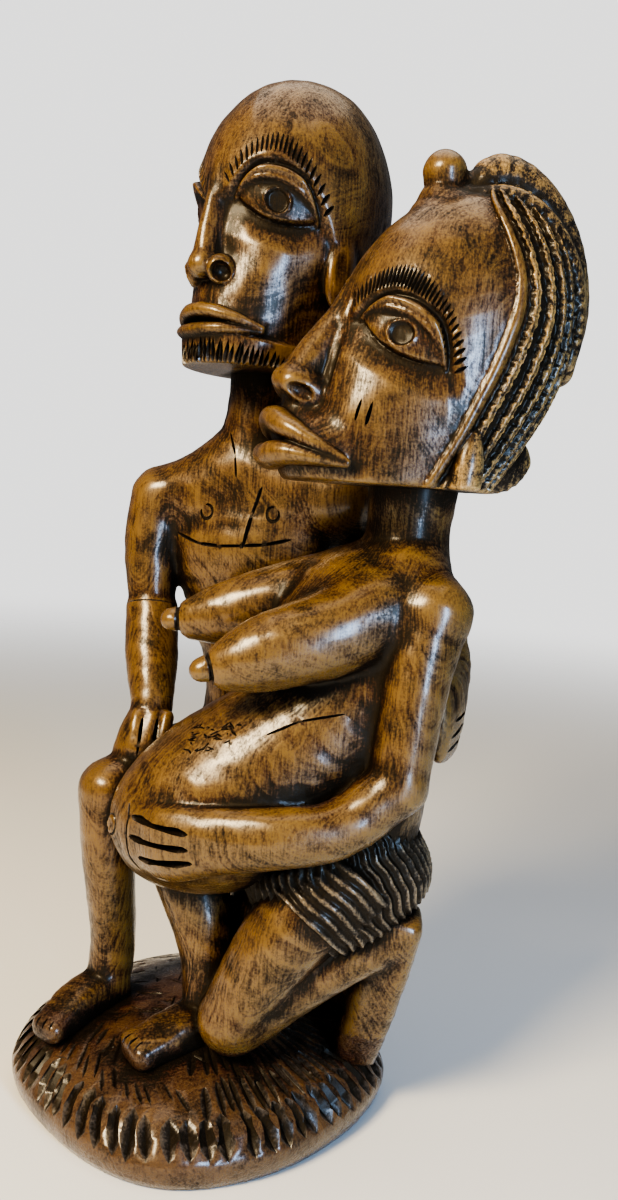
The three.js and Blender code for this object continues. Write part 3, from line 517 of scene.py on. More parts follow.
def hem_shape(field):
    """The end of the wrap over the top of a thigh, pleated across the leg."""
    wide = np.cross(HEM_AXIS, Z_AXIS)
    wide /= np.linalg.norm(wide)
    along, across, above = field.along(HEM_ROOT, (HEM_AXIS, wide, np.cross(HEM_AXIS, wide)))
    around = np.arctan2(across, above)
    wave = 0.5 * along / HEM_PITCH + 0.35 * np.sin(3 * around) + 0.2 * np.sin(7 * around)
    ribs = np.abs(np.cos(wave)) ** PLEAT_SHARPNESS
    radial = np.sqrt(across ** 2 + above ** 2) - HEM_RADIUS - 1.5 * ribs + 0.07 * np.clip(along, 0, 99)
    ends = np.abs(along - 4.0 - 2.5 * np.sin(around)) - HEM_HALF_LENGTH
    return np.maximum(radial, ends).astype(np.float32)


def carve_wrap():
    field = Field.over(*WRAP_BOX, WRAP_STEP)
    field.values = np.minimum(wrap_shape(field), hem_shape(field))
    return field


def skull_rows(skull, z):
    """Front, back, half width and widest place of a skull at each height of the 1-D array z."""
    rows = np.array(skull, float)
    heights = rows[:, 0]
    squares = np.stack([(rows[:, 1] - rows[:, 4]) ** 2, (rows[:, 2] + rows[:, 4]) ** 2, rows[:, 3] ** 2], 1)
    table = np.column_stack([squares, rows[:, 4]])
    out = []
    for column in table.T:
        ascending = column[::-1]
        at = heights[::-1]
        slope = np.gradient(ascending, at)
        i = np.clip(np.searchsorted(at, z) - 1, 0, len(at) - 2)
        width = at[i + 1] - at[i]
        t = np.clip((z - at[i]) / width, 0, None)
        inside = np.clip(t, 0, 1)
        value = ((2 * inside ** 3 - 3 * inside ** 2 + 1) * ascending[i]
                 + (inside ** 3 - 2 * inside ** 2 + inside) * width * slope[i]
                 + (3 * inside ** 2 - 2 * inside ** 3) * ascending[i + 1]
                 + (inside ** 3 - inside ** 2) * width * slope[i + 1])
        out.append(value + np.where(t > 1, (z - at[i + 1]) * slope[i + 1], 0))
    front, back, half = (np.sqrt(np.maximum(v, 0.04)) for v in out[:3])
    return front, back, half, out[3]


def skin_point(skull, angle, height, lift=0.0):
    """The point of a head's skin at an angle from the face and a height, and the way out of it."""
    front, back, half, wide = (float(v[0]) for v in skull_rows(skull, np.array([float(height)])))
    c, s = math.cos(math.radians(angle)), math.sin(math.radians(angle))
    reach = front if c > 0 else back
    out = Vector((c / reach, s / half, 0)).normalized()
    return Vector((wide + reach * c, half * s, height)) + out * lift


class Head:
    """The skin's own coordinates on a head's grid: angle from the face, height, and distance off it."""

    def __init__(self, skull, low, high):
        self.field = Field.over(low, high, HEAD_STEP)
        z = self.field.axes[2]
        x, y, level = self.field.grid()
        rows = skull_rows(skull, z.astype(float))
        front, back, half, wide = (v.astype(np.float32)[None, None, :] for v in rows)
        dx = x - wide
        reach = np.where(dx > 0, front, back)
        u, v = dx / reach, y / half
        k0 = np.sqrt(u * u + v * v)
        k1 = np.sqrt((u / reach) ** 2 + (v / half) ** 2)
        off = (k0 * (k0 - 1) / np.maximum(k1, 1e-4)).astype(np.float32)
        slope = np.sqrt(sum(g * g for g in np.gradient(off, HEAD_STEP)))
        crown = level - skull[0][0] - 0.6
        self.field.values = np.maximum(off / np.maximum(slope, 0.9), crown)
        self.angle = np.degrees(np.arctan2(v, u)).astype(np.float32)
        self.height = np.broadcast_to(level, off.shape)


def bump(value, width):
    """A smooth hill one unit high."""
    return np.exp(-(value / width) ** 2)


def step_up(value, width):
    """From 0 to 1 as value passes 0."""
    t = np.clip(value / width * 0.5 + 0.5, 0, 1)
    return t * t * (3 - 2 * t)


def across_eye(eye, angle, height):
    """Millimetres along and across an eye."""
    a = np.radians(angle - eye["angle"]) * ARC
    b = height - eye["height"]
    ct, st = math.cos(math.radians(eye["tilt"])), math.sin(math.radians(eye["tilt"]))
    return a * ct + b * st, b * ct - a * st


def lid_lines(eye, s, v):
    """An eye's almond at a share `s` of its length: its swell, its two edges, and the height over the lid."""
    swell = 1 - s * s
    upper, lower = eye["open"] * EYE_ABOVE * swell, -eye["open"] * EYE_BELOW * swell
    return swell, upper, lower, v - (upper + eye["lid"] * np.clip(swell + 0.25, 0, 1))


def eye_relief(head, eye, side):
    """How far the skin stands out round one eye: hollow, ball, lids and the drilled iris."""
    u, v = across_eye(eye, side * head.angle, head.height)
    half, opening = eye["half"], eye["open"]
    s = np.clip(u / half, -1.6, 1.6)
    swell, upper, lower, lid = lid_lines(eye, s, v)
    slope = np.sqrt(1 + (1.2 * opening * s / half) ** 2)
    outside = np.maximum(v - upper, lower - v) / slope
    deep = 1 + 0.35 * np.clip(-v / opening, 0, 1)
    hollow = -eye["sunk"] * deep * (1 - step_up(outside - 4.0, 7)) * step_up(3.4 - lid, 4)
    ball = 3.3 * np.sqrt(np.clip(1 - (u / (half * 1.1)) ** 2 - (v / (opening * 0.92)) ** 2, 0, 1))
    ball = ball * step_up(-outside, 0.9)
    upper_lid = 4.2 * step_up(v - upper + 0.3, 0.8) * step_up(0.9 - lid, 2.4)
    upper_lid = upper_lid * np.clip(swell + 0.18, 0, 1) ** 0.5
    lower_lid = 0.35 * bump(lower - v - 0.9, 1.0) * np.clip(swell + 0.2, 0, 1) ** 0.5
    crease = -2.6 * bump(lid - 1.1, 1.3) * np.clip(swell + 0.35, 0, 1)
    second = -0.8 * bump(lid + 3.0, 0.55) * np.clip(swell + 0.1, 0, 1)
    slit = -1.4 * bump(outside, 0.6) * np.clip(swell + 0.3, 0, 1)
    radius = np.sqrt((u - IRIS_AT[0]) ** 2 + (v - IRIS_AT[1]) ** 2)
    iris = -1.0 * step_up(eye["iris"] - radius, 0.6) + 0.6 * bump(radius - eye["iris"] - 0.6, 0.55)
    iris = iris * step_up(-outside, 0.8)
    near = step_up(half + 12 - np.abs(u), 6) * step_up(opening + 12 - np.abs(v), 6)
    return (hollow + ball + upper_lid + lower_lid + crease + second + slit + iris) * near


def brow_height(brow, s):
    return brow["height"] + s * brow["slope"] + brow["rise"] * (1 - s * s)


def brow_relief(head, brow, side):
    """The bone of the brow, which carries the strokes."""
    s = (side * head.angle - brow["angle"]) / brow["spread"]
    rise = head.height - brow_height(brow, s)
    return 0.6 * bump(rise + 0.5, 3.2) * step_up(1.15 - np.abs(s), 0.4)


def face_relief(head, eye, brow):
    """Both eyes with their brows."""
    return sum(eye_relief(head, eye, side) + brow_relief(head, brow, side) for side in (1, -1))


def add_lips(field, lips, cheek, corner, thick):
    """Two full lips: height, fullness, front, droop at the corner and pout, through a cheek and a corner
    place given as (forward, aside)."""
    for height, full, front, droop, pout in lips:
        left = [(cheek[0], cheek[1], height - 0.3 * droop, full * 0.82, thick * 0.85),
                (corner[0], corner[1], height - droop, 1.3, 1.6)]
        right = [(x, -y, *rest) for x, y, *rest in reversed(left)]
        add_limb(field, [*right, (front, 0, height + pout, full, thick), *left], Z_AXIS, blend=0.5, per=6)


def carve_man_head():
    head = Head(MAN_SKULL, (-50, -42, -92), (54, 42, 52))
    field = head.field
    around = np.abs(head.angle)
    beard = step_up(-64.5 - head.height + 0.02 * around, 1.6) * step_up(116 - around, 14)
    relief = face_relief(head, MAN_EYE, MAN_BROW) + 2.9 * beard
    relief = relief + 1.4 * bump(around - 42, 16) * bump(head.height + 38, 9)
    field.values = field.values - relief.astype(np.float32)
    # The bridge and the tip of the nose.
    add_limb(field, [
        (36.5, 0, 2, 3, 4), (38, 0, -10, 3.3, 4.5), (38.5, 0, -24, 4.2, 5.5), (38.5, 0, -36, 5.2, 6),
    ], Y_AXIS)
    add_blob(field, (40.5, 0, -39.5), (5.4, 5.6, 5), 2)
    # The wings of the nose and the nostrils, and the ears.
    for side in (1, -1):
        add_blob(field, (36, side * 6.8, -40.5), (6.2, 5, 5.8), 0.8)
        cut_blob(field, (38.4, side * 9.4, -42.2), (4.4, 3.2, 3.7), 0.6)
        add_blob(field, (-1, side * 32, -31), (7, 4, 15), 1.5)
        cut_blob(field, (3, side * 37, -31), (3.4, 2.6, 10), 0.8)
    add_lips(field, ((-56.4, 3.2, 37.8, 3.8, 0.4), (-63.2, 2.9, 37.0, -1.5, -0.4)),
             (33.8, 11.5), (23.5, 21), 4.2)
    cut_blob(field, (40.5, 0, -50.5), (2.2, 2.0, 3.6), 1.2)
    return finish_head(field, MAN_HEAD, MAN_JAW, 5)


def hairline(height):
    """The angle from the face at which her hair starts."""
    return HAIRLINE_ANGLE - HAIRLINE_SWEEP * np.clip((height - 4) / 34, 0, 1.3) ** 2


def braid_relief(head):
    """Ridges that run down the back of the head, behind a smooth rim, from the crown to the nape."""
    rim = hairline(head.height)
    back = np.abs(head.angle)
    roll = RIM_LIFT * np.sqrt(np.clip(1 - ((back - rim - 3.4) / RIM_HALF_WIDTH) ** 2, 0, 1))
    share = (back - rim - 7) / np.maximum(180 - rim - 7, 1)
    row = share * BRAIDS / 2
    number = np.floor(row)
    wave = 0.035 * np.sin(head.height * 1.1 + number * 1.7) + 0.025 * np.sin(head.height * 2.3 + number * 2.3)
    part = np.abs(row - number - 0.5 + wave)
    ridge = step_up(0.2 - part, 0.08) - 0.12 * step_up(0.06 - part, 0.06)
    pits = 0.4 * np.sin(head.height * 1.9 + number * 2.6) + 0.2 * np.sin(head.height * 3.3 + share * 60)
    braids = BRAID_FLOOR + (BRAID_TOP - BRAID_FLOOR) * ridge + pits * (1 - ridge)
    return np.where(back > rim - 0.5, np.maximum(roll, np.where(share > 0, braids, -9)), 0)


def carve_woman_head():
    head = Head(WOMAN_SKULL, (-58, -44, -96), (64, 44, 70))
    field = head.field
    around = np.abs(head.angle)
    relief = face_relief(head, WOMAN_EYE, WOMAN_BROW) + braid_relief(head)
    relief = relief + 1.6 * bump(around - 46, 17) * bump(head.height + 44, 10)
    field.values = field.values - relief.astype(np.float32)
    # The bridge and tip of the nose, what lies under it, and the muzzle behind the lips.
    add_limb(field, [
        (37, 0, -2, 4.2, 6), (39.5, 0, -14, 5, 6), (43, 0, -28, 6.4, 7.5), (46, 0, -39, 8, 7.5),
    ], Y_AXIS, blend=2)
    add_blob(field, (49, 0, -41), (6.4, 7, 5), 2)
    add_limb(field, [(40, 0, -42, 6.5, 7), (41.5, 0, -55, 8, 8)], Y_AXIS)
    add_blob(field, (29, 0, -60), (16.5, 19.5, 15), 5)
    # The grooves beside the nose, its wings and nostrils, and a lock of hair before each ear.
    for side in (1, -1):
        cut_channel(field, [
            (*skin_point(WOMAN_SKULL, side * 15, -7, 0.6), 1.6, 1.6),
            (*skin_point(WOMAN_SKULL, side * 16.5, -22, 0.8), 1.9, 1.9),
            (*skin_point(WOMAN_SKULL, side * 19, -38, 1.0), 1.6, 1.6),
        ], Y_AXIS, 0.5)
        add_blob(field, (44, side * 6.2, -42), (8.8, 3.8, 5.2), 2.2)
        cut_blob(field, (46.2, side * 9.0, -44.4), (5.2, 2.4, 2.6), 0.7)
        add_limb(field, [
            (-12, side * 27.5, -38, 3.4, 3), (-14, side * 28, -48, 5.4, 4.4), (-17, side * 26.5, -60, 6, 5),
        ], X_AXIS, blend=1.0)
    add_lips(field, ((-56.8, 4.7, 48.5, 5.2, 1.6), (-67.2, 4.7, 45.5, -4.4, -0.6)),
             (42.5, 12.5), (24.5, 22.5), 5.6)
    cut_blob(field, (50, 0, -50.5), (1.6, 1.8, 3.2), 1.2)
    # The rolled crest over the crown, with a beaded plait along each side.
    add_limb(field, [
        (12, 0, 46, 6, 5), (4, 0, 56, 9, 9), (-12, 0, 53, 11, 10), (-28, 0, 42, 11, 8), (-40, 0, 24, 10, 6),
        (-44, 0, 2, 9, 5),
    ], Y_AXIS, blend=1.2)
    for side in (1, -1):
        plait = [
            (13, side * 6, 44, 3, 3), (2, side * 10.5, 48, 3.6, 3.6), (-12, side * 13.5, 45.5, 4, 4),
            (-27, side * 14, 35, 4, 4), (-38, side * 12, 20, 3.8, 3.6), (-42, side * 10, 4, 3.2, 3),
        ]
        add_limb(field, plait, Y_AXIS, blend=1.0)
        for x, y, z, _, _ in spline(plait, 4)[1:-2]:
            add_blob(field, (x, y + side * 2.2, z - 0.6), (1.9, 2.2, 2.2), 0.4)
    # The knob above the forehead, and the curl at the nape.
    add_limb(field, [(20, 0, 36, 10, 10), (21.5, 0, 43, 7.5, 7.5), (24, 0, 49, 8, 8)], Y_AXIS, blend=4)
    add_limb(field, [(-28, 0, -38, 10, 16), (-37, 0, -36, 6, 11), (-43, 0, -31, 3, 6)], Y_AXIS, blend=2)
    return finish_head(field, WOMAN_HEAD, WOMAN_JAW, 7)


def head_matrix(place):
    turn = Matrix.Rotation(math.pi + math.radians(place["turn"]), 4, "Z")
    lift = Matrix.Rotation(-math.radians(place["lift"]), 4, "Y")
    return Matrix.Translation(place["at"]) @ turn @ lift


def finish_head(field, place, jaw, seed):
    """Trims a head level above its neck and gives the carver's slight unevenness."""
    matrix = head_matrix(place)
    x, y, z = field.grid()
    world_z = matrix[2][0] * x + matrix[2][1] * y + matrix[2][2] * z + matrix[2][3]
    field.values += hand_marks(field, seed, HEAD_MARKS, HEAD_MARK_DEPTH)
    field.values = -soft_min(-field.values, (world_z - jaw).astype(np.float32), 1.6)
    return field, matrix


# ---------------------------------------------------------------- materials
def placed(tree, kind, at, **values):
    """A new node at a place in the editor."""
    node = tree.nodes.new(kind)
    node.location = at
    for key, value in values.items():
        setattr(node, key, value)
    return node


def set_inputs(node, **values):
    for key, value in values.items():
        node.inputs[key.replace("_", " ")].default_value = value


def shader_group(name, inputs, outputs):
    tree = bpy.data.node_groups.new(name, "ShaderNodeTree")
    for label, kind, default in inputs:
        tree.interface.new_socket(label, in_out="INPUT", socket_type=kind).default_value = default
    for label, kind in outputs:
        tree.interface.new_socket(label, in_out="OUTPUT", socket_type=kind)
    return tree, tree.nodes.new("NodeGroupInput"), tree.nodes.new("NodeGroupOutput")


def ramp(tree, at, stops, source, ends=(0.0, 1.0)):
    """What runs from one end to the other while the source runs between the stops."""
    node = placed(tree, "ShaderNodeMapRange", at)
    set_inputs(node, From_Min=stops[0], From_Max=stops[1], To_Min=ends[0], To_Max=ends[1])
    tree.links.new(source, node.inputs["Value"])
    return node.outputs["Result"]


def maths(tree, at, operation, a, b=None, clamp=False):
    """A Math node on one or two values, each a number or a socket."""
    node = placed(tree, "ShaderNodeMath", at, operation=operation, use_clamp=clamp)
    for socket, value in zip(node.inputs, (a, b)):
        if isinstance(value, (int, float)):
            socket.default_value = value
        elif value is not None:
            tree.links.new(value, socket)
    return node.outputs[0]


def wood_grain_group():
    """Growth rings about the pith, fibres that run up the block, open pores, and slow clouds in the stain."""
    tree, start, end = shader_group("wood_grain", [
        ("Ring Width", "NodeSocketFloat", 0.0011),
        ("Fibre Length", "NodeSocketFloat", 0.03),
        ("Fibre Width", "NodeSocketFloat", 0.0008),
        ("Pore Size", "NodeSocketFloat", 0.0009),
        ("Cloud Size", "NodeSocketFloat", 0.016),
    ], [("Rings", "NodeSocketFloat"), ("Fibre", "NodeSocketFloat"), ("Pores", "NodeSocketFloat"),
        ("Vessels", "NodeSocketFloat"), ("Cloud", "NodeSocketFloat")])
    coords = placed(tree, "ShaderNodeTexCoord", (-1300, 0))
    split = placed(tree, "ShaderNodeSeparateXYZ", (-1100, 0))
    tree.links.new(coords.outputs["Object"], split.inputs[0])
    squeezed = placed(tree, "ShaderNodeCombineXYZ", (-360, 100))
    for axis, size in (("X", "Fibre Width"), ("Y", "Fibre Width"), ("Z", "Fibre Length")):
        scaled = maths(tree, (-540, 0), "DIVIDE", split.outputs[axis], start.outputs[size])
        tree.links.new(scaled, squeezed.inputs[axis])
    fibre = placed(tree, "ShaderNodeTexNoise", (-180, 120))
    set_inputs(fibre, Scale=1.0, Detail=2.0, Roughness=0.55, Distortion=0.3)
    tree.links.new(squeezed.outputs[0], fibre.inputs["Vector"])
    tree.links.new(ramp(tree, (0, 120), (0.34, 0.66), fibre.outputs[0]), end.inputs["Fibre"])
    short = placed(tree, "ShaderNodeVectorMath", (-180, -60), operation="MULTIPLY")
    short.inputs[1].default_value = (0.55, 0.55, 9.0)
    tree.links.new(squeezed.outputs[0], short.inputs[0])
    cells = placed(tree, "ShaderNodeTexVoronoi", (0, -60))
    tree.links.new(short.outputs[0], cells.inputs["Vector"])
    tree.links.new(ramp(tree, (180, -60), (0.12, 0.3), cells.outputs["Distance"]), end.inputs["Vessels"])
    bend = placed(tree, "ShaderNodeTexNoise", (-1100, 400))
    set_inputs(bend, Scale=22.0, Detail=2.0)
    tree.links.new(coords.outputs["Object"], bend.inputs["Vector"])
    sway = maths(tree, (-900, 400), "MULTIPLY", bend.outputs[0], 0.02)
    from_pith = maths(tree, (-900, 300), "ADD", split.outputs["X"], 0.02)
    aside = maths(tree, (-900, 200), "SUBTRACT", split.outputs["Y"], 0.11)
    squares = [maths(tree, (-740, 250), "MULTIPLY", v, v) for v in (from_pith, aside)]
    radius = maths(tree, (-440, 300), "SQRT", maths(tree, (-580, 300), "ADD", *squares))
    lean = maths(tree, (-440, 420), "MULTIPLY", split.outputs["Z"], 0.16)
    away = maths(tree, (-300, 360), "ADD", maths(tree, (-360, 420), "ADD", radius, sway), lean)
    rings = placed(tree, "ShaderNodeTexNoise", (-120, 380), noise_dimensions="1D")
    set_inputs(rings, Scale=1.0, Detail=3.0, Roughness=0.7)
    tree.links.new(maths(tree, (-220, 380), "DIVIDE", away, start.outputs["Ring Width"]), rings.inputs["W"])
    tree.links.new(ramp(tree, (60, 380), (0.32, 0.68), rings.outputs[0]), end.inputs["Rings"])
    for label, size, stops, detail, row in (("Pores", "Pore Size", (0.36, 0.64), 3.0, -120),
                                            ("Cloud", "Cloud Size", (0.33, 0.67), 4.0, -360)):
        rate = maths(tree, (-360, row), "DIVIDE", 1.0, start.outputs[size])
        noise = placed(tree, "ShaderNodeTexNoise", (-180, row))
        set_inputs(noise, Detail=detail, Roughness=0.62)
        tree.links.new(coords.outputs["Object"], noise.inputs["Vector"])
        tree.links.new(rate, noise.inputs["Scale"])
        tree.links.new(ramp(tree, (0, row), stops, noise.outputs[0]), end.inputs[label])
    return tree


def colour_mix(tree, at, factor, first, second):
    mix = placed(tree, "ShaderNodeMix", at, data_type="RGBA")
    tree.links.new(factor, mix.inputs["Factor"])
    tree.links.new(first, mix.inputs[6])
    tree.links.new(second, mix.inputs[7])
    return mix.outputs[2]


def rubbed_wood_group(grain):
    """The finish: stain rubbed golden where the wood stands out, going black where the wood is enclosed and
    on the faces' darkened places, partly the stain kept in the hollows and partly painted shade.
    """
    tree, start, end = shader_group("rubbed_stain_and_painted_shade", [
        ("Rubbed Colour", "NodeSocketColor", (0.3, 0.14, 0.03, 1)),
        ("Stain Colour", "NodeSocketColor", (0.06, 0.025, 0.008, 1)),
        ("Red Stain Colour", "NodeSocketColor", (0.08, 0.022, 0.008, 1)),
        # Near black for the stain kept in the hollows and for painted shade.
        ("Hollow Colour", "NodeSocketColor", (0.006, 0.004, 0.003, 1)),
        ("Wear", "NodeSocketFloat", 0.5),
        ("Grain Share", "NodeSocketFloat", 0.5),
        ("Speckle Share", "NodeSocketFloat", 0.5),
        ("Cloud Share", "NodeSocketFloat", 0.5),
        ("Bump Depth", "NodeSocketFloat", 0.25),
    ], [("Colour", "NodeSocketColor"), ("Roughness", "NodeSocketFloat"), ("Wax", "NodeSocketFloat"),
        ("Normal", "NodeSocketVector")])
    marks = placed(tree, "ShaderNodeGroup", (-1100, 0), node_tree=grain)
    relief = placed(tree, "ShaderNodeAttribute", (-1100, -260), attribute_name="relief")
    hollow_stain_and_painted_shade = placed(tree, "ShaderNodeAttribute", (-1100, -460), attribute_name="hollow_stain_and_painted_shade")
    lines = maths(tree, (-900, 260), "ADD", marks.outputs["Rings"], marks.outputs["Fibre"])
    specks = maths(tree, (-900, 140), "ADD", marks.outputs["Pores"], marks.outputs["Vessels"])
    parts = []
    kinds = ((lines, "Grain Share", 1.0), (specks, "Speckle Share", 1.35),
             (marks.outputs["Cloud"], "Cloud Share", 0.5))
    for row, (source, share, mean) in enumerate(kinds):
        level = maths(tree, (-740, 260 - 120 * row), "SUBTRACT", source, mean)
        parts.append(maths(tree, (-580, 260 - 120 * row), "MULTIPLY", level, start.outputs[share]))
    fine = maths(tree, (-440, 220), "ADD", parts[0], parts[1])
    texture = maths(tree, (-300, 200), "ADD", fine, parts[2])
    high = maths(tree, (-900, -260), "SUBTRACT", relief.outputs["Fac"], 0.5)
    raised = maths(tree, (-740, -260), "MULTIPLY", high, 1.1)
    # The enclosure attribute, painted shade with the stain kept in the hollows, takes away from the rubbing.
    stain_and_shade = maths(tree, (-740, -400), "MULTIPLY", hollow_stain_and_painted_shade.outputs["Fac"], 0.5)
    exposed = maths(tree, (-580, -260), "ADD", raised, start.outputs["Wear"])
    reach = maths(tree, (-440, -260), "SUBTRACT", exposed, stain_and_shade)
    amount = maths(tree, (-160, 0), "ADD", reach, texture, clamp=True)
    stain = colour_mix(tree, (-160, 300), marks.outputs["Cloud"], start.outputs["Stain Colour"],
                       start.outputs["Red Stain Colour"])
    # Low amounts go to the near black of hollows and painted shade, high ones to the rubbed gold.
    dark = ramp(tree, (-20, 60), (0.0, 0.3), amount)
    gold = ramp(tree, (-20, -60), (0.26, 1.0), amount)
    lower = colour_mix(tree, (60, 200), dark, start.outputs["Hollow Colour"], stain)
    upper = colour_mix(tree, (260, 200), gold, lower, start.outputs["Rubbed Colour"])
    tree.links.new(upper, end.inputs["Colour"])
    tree.links.new(ramp(tree, (260, -160), (0.0, 1.0), amount, (0.58, 0.24)), end.inputs["Roughness"])
    tree.links.new(ramp(tree, (260, -560), (0.15, 0.75), amount, (0.16, 1.0)), end.inputs["Wax"])
    hump = placed(tree, "ShaderNodeBump", (260, -360))
    set_inputs(hump, Distance=0.0004)
    tree.links.new(start.outputs["Bump Depth"], hump.inputs["Strength"])
    tree.links.new(texture, hump.inputs["Height"])
    tree.links.new(hump.outputs["Normal"], end.inputs["Normal"])
    return tree


FINISH = rubbed_wood_group(wood_grain_group())
# Near black of the stain kept in the hollows and of painted shade.
BLACK_OF_HOLLOWS_AND_SHADE = (0.003, 0.002, 0.0015)


def wood(name, rubbed, stain, red_stain, wear, shares, depth):
    """One zone of the carving in the shared finish: its colours, how far it is rubbed, the shares of
    grain, speckle and cloud, and the depth of its bumps."""
    material = bpy.data.materials.new(name)
    material.use_nodes = True
    tree = material.node_tree
    shader = tree.nodes["Principled BSDF"]
    group = placed(tree, "ShaderNodeGroup", (-320, 100), node_tree=FINISH)
    set_inputs(group, Rubbed_Colour=(*rubbed, 1), Stain_Colour=(*stain, 1), Red_Stain_Colour=(*red_stain, 1),
               Hollow_Colour=(*BLACK_OF_HOLLOWS_AND_SHADE, 1), Wear=wear, Grain_Share=shares[0], Speckle_Share=shares[1],
               Cloud_Share=shares[2], Bump_Depth=depth)
    for given, taken in (("Colour", "Base Color"), ("Roughness", "Roughness"), ("Normal", "Normal"),
                         ("Wax", "Coat Weight")):
        tree.links.new(group.outputs[given], shader.inputs[taken])
    set_inputs(shader, Coat_Roughness=0.25, Specular_IOR_Level=0.16, Specular_Tint=(1.0, 0.74, 0.42, 1))
    return material


SKIN_WOOD = wood("rubbed_skin_wood", (0.135, 0.073, 0.0165), (0.021, 0.0108, 0.0042),
                 (0.031, 0.0102, 0.004), 0.5, (0.4, 0.36, 0.38), 0.36)
HAIR_WOOD = wood("dark_hair_wood", (0.42, 0.25, 0.08), (0.01, 0.0078, 0.0074),
                 (0.0125, 0.008, 0.007), 0.33, (0.2, 0.34, 0.3), 0.5)
WRAP_WOOD = wood("dark_wrap_wood", (0.22, 0.155, 0.085), (0.0085, 0.0078, 0.0082),
                 (0.0105, 0.008, 0.0078), 0.24, (0.2, 0.34, 0.3), 0.5)
BASE_WOOD = wood("red_base_wood", (0.09, 0.046, 0.016), (0.0125, 0.0068, 0.0048),
                 (0.032, 0.0085, 0.0046), 0.36, (0.22, 0.5, 0.6), 0.8)
CUT_WOOD = wood("cut_wood", (0.07, 0.05, 0.034), (0.008, 0.0068, 0.0066),
                (0.0105, 0.0072, 0.0064), 0.3, (0.3, 0.4, 0.4), 0.6)


# ---------------------------------------------------------------- gouge strokes
def gouge_tree():
    """Geometry Nodes: a boat-shaped stroke of a V gouge on every mark, made one mesh."""
    tree = bpy.data.node_groups.new("gouge_strokes", "GeometryNodeTree")
    face = tree.interface
    face.new_socket("Marks", in_out="INPUT", socket_type="NodeSocketGeometry")
    for label, kind, default in (("Length", "NodeSocketFloat", 0.01), ("Width", "NodeSocketFloat", 0.002),
                                 ("Depth", "NodeSocketFloat", 0.0015), ("Sides", "NodeSocketInt", 4),
                                 ("Wood", "NodeSocketMaterial", None)):
        socket = face.new_socket(label, in_out="INPUT", socket_type=kind)
        if default is not None:
            socket.default_value = default
    face.new_socket("Strokes", in_out="OUTPUT", socket_type="NodeSocketGeometry")
    start = placed(tree, "NodeGroupInput", (-900, 0))
    end = placed(tree, "NodeGroupOutput", (700, 0))
    boat = placed(tree, "GeometryNodeMeshUVSphere", (-600, -200))
    boat.inputs["Rings"].default_value = 6
    tree.links.new(start.outputs["Sides"], boat.inputs["Segments"])
    size = placed(tree, "ShaderNodeCombineXYZ", (-600, -420))
    for axis, label, share in (("X", "Depth", 1.0), ("Y", "Width", 0.5), ("Z", "Length", 0.5)):
        half = placed(tree, "ShaderNodeMath", (-760, -420), operation="MULTIPLY")
        half.inputs[1].default_value = share
        tree.links.new(start.outputs[label], half.inputs[0])
        tree.links.new(half.outputs[0], size.inputs[axis])
    shaped = placed(tree, "GeometryNodeTransform", (-400, -200))
    tree.links.new(boat.outputs["Mesh"], shaped.inputs["Geometry"])
    tree.links.new(size.outputs[0], shaped.inputs["Scale"])
    axes = placed(tree, "FunctionNodeAxesToRotation", (-200, 200), primary_axis="Z", secondary_axis="X")
    for label, socket in (("along", "Primary Axis"), ("out", "Secondary Axis")):
        named = placed(tree, "GeometryNodeInputNamedAttribute", (-400, 200), data_type="FLOAT_VECTOR")
        named.inputs["Name"].default_value = label
        tree.links.new(named.outputs["Attribute"], axes.inputs[socket])
    scale = placed(tree, "GeometryNodeInputNamedAttribute", (-200, 0), data_type="FLOAT_VECTOR")
    scale.inputs["Name"].default_value = "size"
    row = placed(tree, "GeometryNodeInstanceOnPoints", (100, 0))
    tree.links.new(start.outputs["Marks"], row.inputs["Points"])
    tree.links.new(shaped.outputs["Geometry"], row.inputs["Instance"])
    tree.links.new(axes.outputs[0], row.inputs["Rotation"])
    tree.links.new(scale.outputs["Attribute"], row.inputs["Scale"])
    real = placed(tree, "GeometryNodeRealizeInstances", (300, 0))
    tree.links.new(row.outputs["Instances"], real.inputs["Geometry"])
    coloured = placed(tree, "GeometryNodeSetMaterial", (500, 0))
    tree.links.new(real.outputs["Geometry"], coloured.inputs["Geometry"])
    tree.links.new(start.outputs["Wood"], coloured.inputs["Material"])
    tree.links.new(coloured.outputs["Geometry"], end.inputs["Strokes"])
    return tree


GOUGE = gouge_tree()
STROKE_SIDES = 4
RING_SIDES = (28, 6)
TORN_CRACKS = 44


def take_result(thing, modifier):
    """Makes what a modifier gives the object's own plain mesh."""
    seen = thing.evaluated_get(bpy.context.evaluated_depsgraph_get())
    result = bpy.data.meshes.new_from_object(seen)
    thing.modifiers.remove(modifier)
    old = thing.data
    thing.data = result
    bpy.data.meshes.remove(old)


def strokes(name, marks, length, width, depth):
    """Cutters for marks (point, along, out, size), all in millimetres but the size, as one mesh object."""
    mesh = bpy.data.meshes.new(name)
    mesh.from_pydata([tuple(Vector(mark[0]) * MM) for mark in marks], [], [])
    for column, label in enumerate(("along", "out", "size"), 1):
        data = mesh.attributes.new(label, "FLOAT_VECTOR", "POINT").data
        data.foreach_set("vector", [v for mark in marks for v in mark[column]])
    made = bpy.data.objects.new(name, mesh)
    bpy.context.scene.collection.objects.link(made)
    row = made.modifiers.new("strokes", "NODES")
    row.node_group = GOUGE
    values = {"Length": length * MM, "Width": width * MM, "Depth": depth * MM, "Sides": STROKE_SIDES,
              "Wood": CUT_WOOD}
    for item in GOUGE.interface.items_tree:
        if item.in_out == "INPUT" and item.name in values:
            row[item.identifier] = values[item.name]
    take_result(made, row)
    return made


